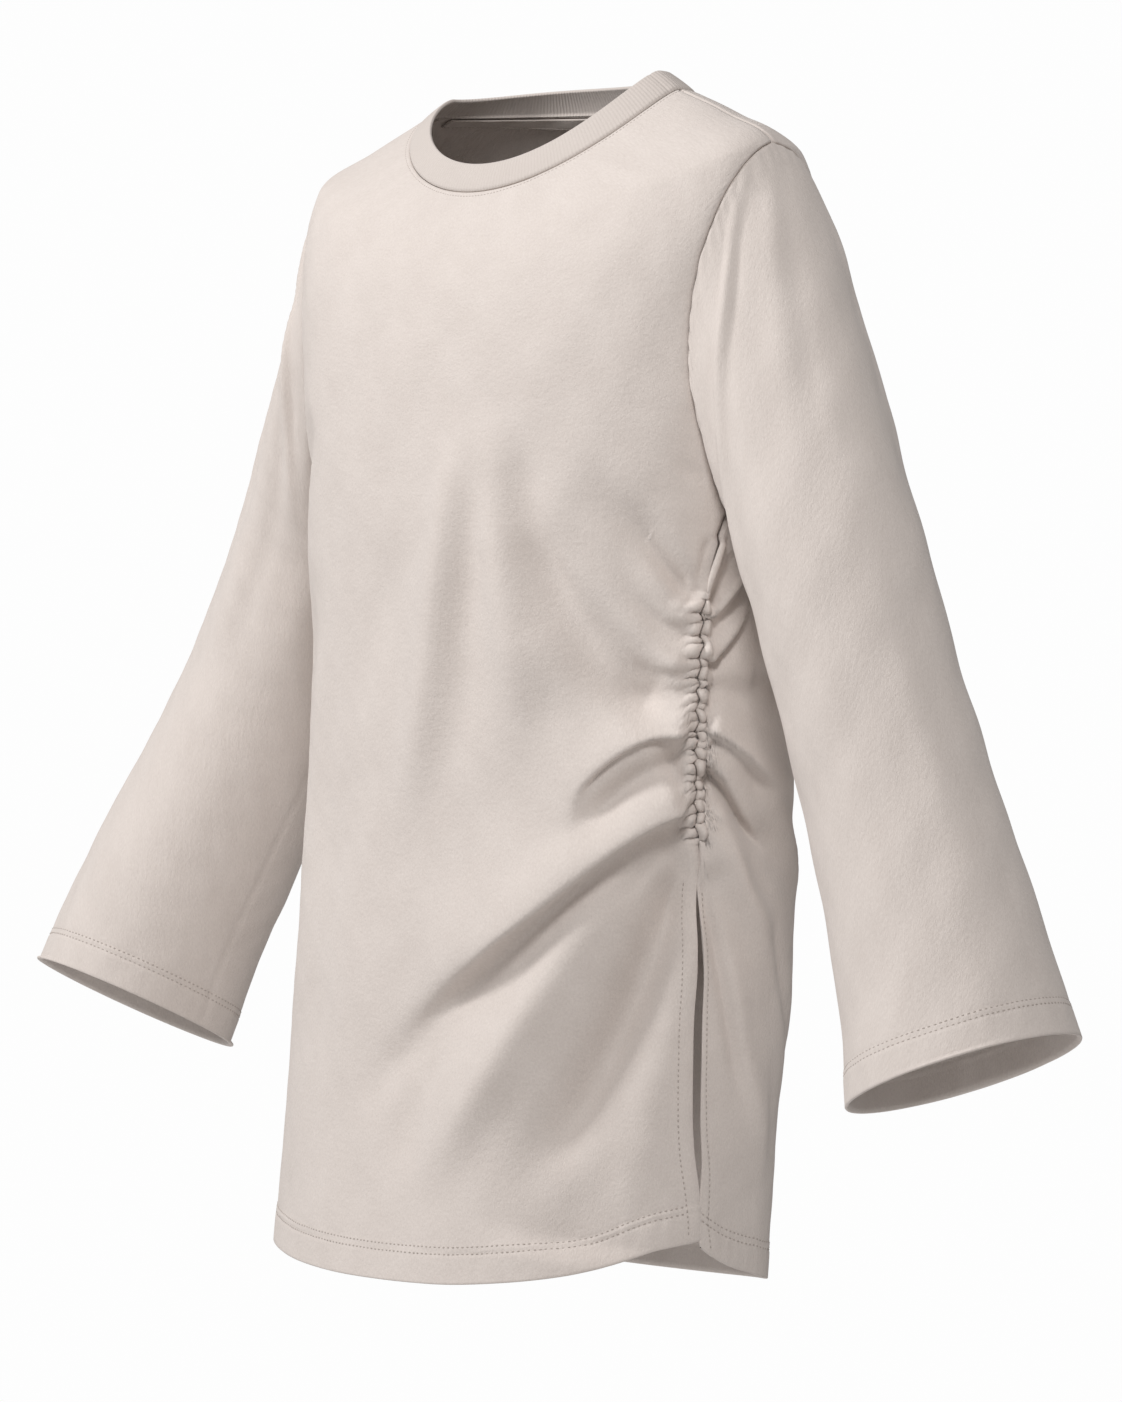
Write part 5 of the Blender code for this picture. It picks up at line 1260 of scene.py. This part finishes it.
in_l = inside(edge_sl, 0.0232)
in_r = inside(edge_sr, 0.0232)
mid_sl, mid_sr = draw_first(mid_sl), draw_first(mid_sr)
sleeve_l = shell("cloth_sleeve_left", mid_sl, off_sl, sleeve_uv(phi_l, d_sl), [JERSEY],
                 np.full(in_l.shape, HALF), in_l, wrap=True, round_rows=(False, True))
sleeve_r = shell("cloth_sleeve_right", mid_sr, off_sr, sleeve_uv(phi_r, d_sr), [JERSEY],
                 np.full(in_r.shape, HALF), in_r, wrap=True, round_rows=(False, True))

band_out = np.full(mid_band.shape[:2], BAND_WALL / 2)
mid_band[:, 0] += unit(mid_band[:, 1] - mid_band[:, 0]) * (SEAM_GAP * 0.6)
band = shell("cloth_neckband", mid_band, off_band,
             np.stack([np.broadcast_to(arc_band[:, None], d_band.shape), d_band], -1), [RIB],
             band_out, band_out, wrap=True, round_rows=(False, True))

# tape over the back neck seam allowance, from shoulder to shoulder
ends = np.flatnonzero(mid_back[:, -1, 1] > 0.0100)
take = slice(int(ends[0]), int(ends[-1]) + 1)
cols_b, nor_b, dist_b = mid_back[take], nor_back[take], b_neck[take]
tape_t = np.concatenate([[0.0, 0.0006, 0.0014], np.linspace(0.0024, TAPE_WIDTH - 0.0024, 5),
                         [TAPE_WIDTH - 0.0014, TAPE_WIDTH - 0.0006, TAPE_WIDTH]])
tape_mid = np.empty((len(cols_b), len(tape_t), 3))
tape_nor = np.empty_like(tape_mid)
for i in range(len(cols_b)):
    d, p, n = dist_b[i][::-1], cols_b[i][::-1], nor_b[i][::-1]
    for k in range(3):
        tape_mid[i, :, k] = np.interp(0.0020 + tape_t, d, p[:, k])
        tape_nor[i, :, k] = np.interp(0.0020 + tape_t, d, n[:, k])
tape_nor = unit(tape_nor)
sag = 0.0003 * np.sin(np.linspace(0, 60, len(cols_b)))[:, None] * np.sin(np.linspace(0, math.pi, len(tape_t)))[None]
# lies clear inside the seam groove, stitched down along both edges
inset = HALF + TAPE_WALL / 2 + TAPE_GAP + 0.0003
pinch = 0.0002 * (np.exp(-((tape_t - 0.0013) / 0.0006) ** 2) + np.exp(-((tape_t - TAPE_WIDTH + 0.0013) / 0.0006) ** 2))
tape_mid = tape_mid - tape_nor * (inset + sag - pinch[None])[..., None]
tape_thick = np.full(tape_mid.shape[:2], TAPE_WALL / 2)
tape_uv = np.stack([np.broadcast_to(np.linspace(0, 0.25, len(cols_b))[:, None], tape_mid.shape[:2]),
                    np.broadcast_to(tape_t[None], tape_mid.shape[:2])], -1)
tape = shell("cloth_neck_tape", tape_mid, tape_nor, tape_uv, [TAPE], tape_thick, tape_thick,
             round_rows=(True, True), round_cols=(None, None))


# ---------------------------------------------------------------- stitches
def stitch_row(path, nor, pitch, length, radius, sink=0.25, seed=1, lean=0.0, loop=False):
    """Centres, long axes and normals of stitches along a path."""
    rng = np.random.default_rng(seed)
    s = np.concatenate([[0], np.cumsum(np.linalg.norm(np.diff(path, axis=0), axis=1))])
    n = max(2, int(s[-1] / pitch))
    at = (np.arange(n) + 0.5) * s[-1] / n + rng.uniform(-0.06, 0.06, n) * pitch

    def pick(tab, x):
        return np.stack([np.interp(x, s, tab[:, k]) for k in range(3)], -1)

    c = pick(path, at)
    axis = unit(pick(path, at + length / 2) - pick(path, at - length / 2))
    up = unit(pick(nor, at))
    side = unit(np.cross(up, axis))
    up = np.cross(axis, side)
    turn = lean + rng.uniform(-0.05, 0.05, n)
    axis2 = axis * np.cos(turn)[:, None] + side * np.sin(turn)[:, None]
    side2 = unit(np.cross(up, axis2))
    return c - up * (radius * sink), axis2, side2, up, np.full(n, length) * rng.uniform(0.93, 1.05, n), np.full(n, radius)


def stitches(name, rows, body="root"):
    """One joined mesh of thread stitches, each a short rounded strand."""
    c, ax, sd, up, ln, rd = (np.concatenate([r[k] for r in rows]) for k in range(6))
    sides = 5
    prof = np.array([[-0.46, 0.55], [-0.2, 1.0], [0.2, 1.0], [0.46, 0.55]])
    bow = np.array([-0.8, 0.25, 0.25, -0.8])
    ang = np.arange(sides) * 2 * math.pi / sides
    verts, faces = [], []
    ring = []
    for (t, r), b in zip(prof, bow):
        for a in ang:
            ring.append((t, r * math.cos(a), r * math.sin(a) + b * 0.5))
    ring += [(-0.5, 0, -0.5), (0.5, 0, -0.5)]
    ring = np.array(ring)
    f4, f3 = [], []
    for k in range(3):
        for i in range(sides):
            j = (i + 1) % sides
            f4.append((k * sides + i, k * sides + j, (k + 1) * sides + j, (k + 1) * sides + i))
    end0, end1 = 4 * sides, 4 * sides + 1
    for i in range(sides):
        j = (i + 1) % sides
        f3.append((end0, j, i))
        f3.append((end1, 3 * sides + i, 3 * sides + j))
    n = len(c)
    v = (c[:, None] + ax[:, None] * (ring[:, 0] * 1.0)[None, :, None] * ln[:, None, None]
         + sd[:, None] * ring[:, 1][None, :, None] * rd[:, None, None]
         + up[:, None] * ring[:, 2][None, :, None] * rd[:, None, None]).reshape(-1, 3)
    base = (np.arange(n) * len(ring))[:, None, None]
    fa = (np.array(f4)[None] + base).reshape(-1, 4).tolist()
    fb = (np.array(f3)[None] + base).reshape(-1, 3).tolist()
    return make(name, v, fa + fb, None, [THREAD_PAINTED_SHADE])


def line_at(mid, nor, dist, want, thick, rows_axis=1, cols=None):
    """Path on the outer face where dist (along rows) equals want, one point per column."""
    nu = mid.shape[0]
    cols = range(nu) if cols is None else cols
    path, nn = [], []
    for i in cols:
        d = dist[i]
        p, n = mid[i], nor[i]
        if d[0] > d[-1]:
            d, p, n = d[::-1], p[::-1], n[::-1]
        path.append([np.interp(want, d, p[:, k]) for k in range(3)])
        nn.append([np.interp(want, d, n[:, k]) for k in range(3)])
    path, nn = np.array(path), unit(np.array(nn))
    return path + nn * thick, nn


T_ROW = dict(pitch=0.0036, length=0.0024, radius=0.00050)
made = []
rows = []
for k, (deep, seed) in enumerate(((HEM_DEEP, 1), (HEM_DEEP - ROW_APART, 2))):
    for mid, nor, dist, isf in ((mid_front, off_front, f_hem, True), (mid_back, off_back, b_hem, False)):
        p, n = line_at(mid, nor, dist, deep, HALF)
        p, n = (p[2:-3], n[2:-3]) if isf else (p[3:-2], n[3:-2])
        rows.append(stitch_row(p, n, seed=seed, **T_ROW))
made.append(stitches("stitch_hem", rows))
rows = []
for mid, nor, edge, seed in ((mid_sl, off_sl, edge_sl, 3), (mid_sr, off_sr, edge_sr, 4)):
    for k, deep in enumerate((0.0232, 0.0232 - 0.0036)):
        p, n = line_at(mid, nor, edge, deep, HALF)
        p, n = np.concatenate([p, p[:1]]), np.concatenate([n, n[:1]])
        rows.append(stitch_row(p, n, seed=seed + k * 5, **T_ROW))
made.append(stitches("stitch_cuffs", rows))
# slit edges, 9 mm inside
rows = []
for mid, nor, dist, slit, flip in ((mid_front, off_front, f_last, slit_row_f, True),
                                   (mid_back, off_back, b_first, slit_row_b, False)):
    js = np.flatnonzero(slit > 0)
    pts, nn = [], []
    for j in js:
        d, p, n = dist[:, j], mid[:, j], nor[:, j]
        if flip:
            d, p, n = d[::-1], p[::-1], n[::-1]
        pts.append([np.interp(0.0092, d, p[:, k]) for k in range(3)])
        nn.append([np.interp(0.0092, d, n[:, k]) for k in range(3)])
    pts, nn = np.array(pts)[3:], unit(np.array(nn))[3:]
    rows.append(stitch_row(pts + nn * HALF, nn, seed=11, **T_ROW))
made.append(stitches("stitch_slit", rows))
# beside the neck seam
rows = []
pf, nf = line_at(mid_front, off_front, f_neck, 0.0034, HALF)
pb, nb = line_at(mid_back, off_back, b_neck, 0.0034, HALF)
rows.append(stitch_row(pf, nf, pitch=0.0027, length=0.0021, radius=0.00026, seed=21))
rows.append(stitch_row(pb, nb, pitch=0.0027, length=0.0021, radius=0.00026, seed=22))
made.append(stitches("stitch_neck", rows))
# both edges of the tape, seen inside
rows = []
for k, at in enumerate((1, len(tape_t) - 2)):
    p, n = tape_mid[:, at], -tape_nor[:, at]
    rows.append(stitch_row(p + n * (TAPE_WALL / 2), n, pitch=0.0029, length=0.0022, radius=0.00028, seed=31 + k))
made.append(stitches("stitch_tape", rows))
# tack that closes the slit at the hem corner
rows = []
js = [j for j in range(2, 40) if 0.004 < f_hem[-1, j] < 0.030]
cross = []
for j in js[::2]:
    a, b = mid_front[-4, j] + off_front[-4, j] * HALF, mid_back[3, j] + off_back[3, j] * HALF
    cross.append((a, b))
if cross:
    a = np.array([c[0] for c in cross])
    b = np.array([c[1] for c in cross])
    ln = np.linalg.norm(b - a, axis=1)
    keep = ln < 0.012
    a, b, ln = a[keep], b[keep], ln[keep]
    if len(a):
        ax = unit(b - a)
        up = unit(off_front[-4, js[::2]][keep] + off_back[3, js[::2]][keep])
        sd = unit(np.cross(up, ax))
        up = np.cross(ax, sd)
        rows.append(((a + b) / 2 + up * 0.0004, ax, sd, up, ln + 0.001, np.full(len(a), 0.00028)))
        made.append(stitches("stitch_tack", rows))

# ---------------------------------------------------------------- frame
for ob, node, slot in ((front, "front", "jersey"), (back, "back", "jersey"),
                       (sleeve_l, "sleeve_left", "jersey"), (sleeve_r, "sleeve_right", "jersey"),
                       (band, "neckband", "rib"), (tape, "neck_tape", "tape")):
    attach(ob, "root")
    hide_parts(node)
for ob in made:
    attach(ob, "root")

# ---------------------------------------------------------------- studio
me = bpy.data.meshes.new("floor")
ring = [(3.0 * math.cos(a), 3.0 * math.sin(a), -1.42) for a in np.linspace(0, 2 * math.pi, 65)[:-1]]
me.from_pydata(ring, [], [tuple(range(64))])
floor = bpy.data.objects.new("floor", me)
bpy.context.scene.collection.objects.link(floor)
fm, _nt, _b = node_material("floor_pale")
_b.inputs["Base Color"].default_value = (0.82, 0.82, 0.82, 1.0)
_b.inputs["Roughness"].default_value = 0.9
me.materials.append(fm)


def soft_light(name, at, look, size, watts, colour=(1.0, 1.0, 1.0)):
    lamp = bpy.data.lights.new(name, "AREA")
    lamp.shape = "RECTANGLE"
    lamp.size, lamp.size_y = size
    lamp.energy = watts
    lamp.color = colour
    ob = bpy.data.objects.new(name, lamp)
    ob.location = at
    ob.rotation_euler = (Vector(look) - Vector(at)).to_track_quat("-Z", "Y").to_euler()
    bpy.context.scene.collection.objects.link(ob)
    return ob


stage = [floor,
         soft_light("key", (-1.60, -2.05, 1.42), (0.0, 0.0, -0.30), (0.7, 0.7), 62.0, (1.0, 0.998, 0.998)),
         soft_light("fill", (1.72, -1.85, 1.78), (0.1, 0.0, -0.35), (0.8, 0.8), 50.0, (1.0, 0.998, 0.998))]
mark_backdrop(*stage)

world = bpy.data.worlds.new("studio")
bpy.context.scene.world = world
world.use_nodes = True
wn = world.node_tree
for n in list(wn.nodes):
    wn.nodes.remove(n)
out = wn.nodes.new("ShaderNodeOutputWorld")
mix = wn.nodes.new("ShaderNodeMixShader")
path = wn.nodes.new("ShaderNodeLightPath")
seen = wn.nodes.new("ShaderNodeBackground")
seen.inputs["Color"].default_value = (1.0, 1.0, 1.0, 1.0)
seen.inputs["Strength"].default_value = 0.985
lit = wn.nodes.new("ShaderNodeBackground")
lit.inputs["Color"].default_value = (1.0, 0.965, 0.935, 1.0)
lit.inputs["Strength"].default_value = 0.31
wn.links.new(path.outputs["Is Camera Ray"], mix.inputs[0])
wn.links.new(lit.outputs[0], mix.inputs[1])
wn.links.new(seen.outputs[0], mix.inputs[2])
wn.links.new(mix.outputs[0], out.inputs["Surface"])
bpy.context.scene.view_settings.view_transform = "Standard"

# ---------------------------------------------------------------- camera
cam_data = bpy.data.cameras.new("camera")
cam_data.lens = 147.75
cam_data.sensor_width = 36.0
cam_data.sensor_fit = "AUTO"
cam_data.clip_end = 50.0
cam = bpy.data.objects.new("camera", cam_data)
s45 = math.sin(math.radians(45.0))
cam.location = (3.8 * s45, -3.8 * s45, -0.245)
aim = Vector((-s45, s45, 0.0)) * 5754.0 + Vector((s45, s45, 0.0)) * (561.0 - 554.0) + Vector((0, 0, -1.0)) * (701.0 - 470.0)
cam.rotation_euler = aim.to_track_quat("-Z", "Y").to_euler()
bpy.context.scene.collection.objects.link(cam)
bpy.context.scene.camera = cam

low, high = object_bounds()
print("look", [round(v, 4) for v in (*low, *high)])
for ob in (front, back, sleeve_l, sleeve_r, band, tape, *made):
    ob.data.calc_loop_triangles()
    print(ob.name, len(ob.data.loop_triangles))
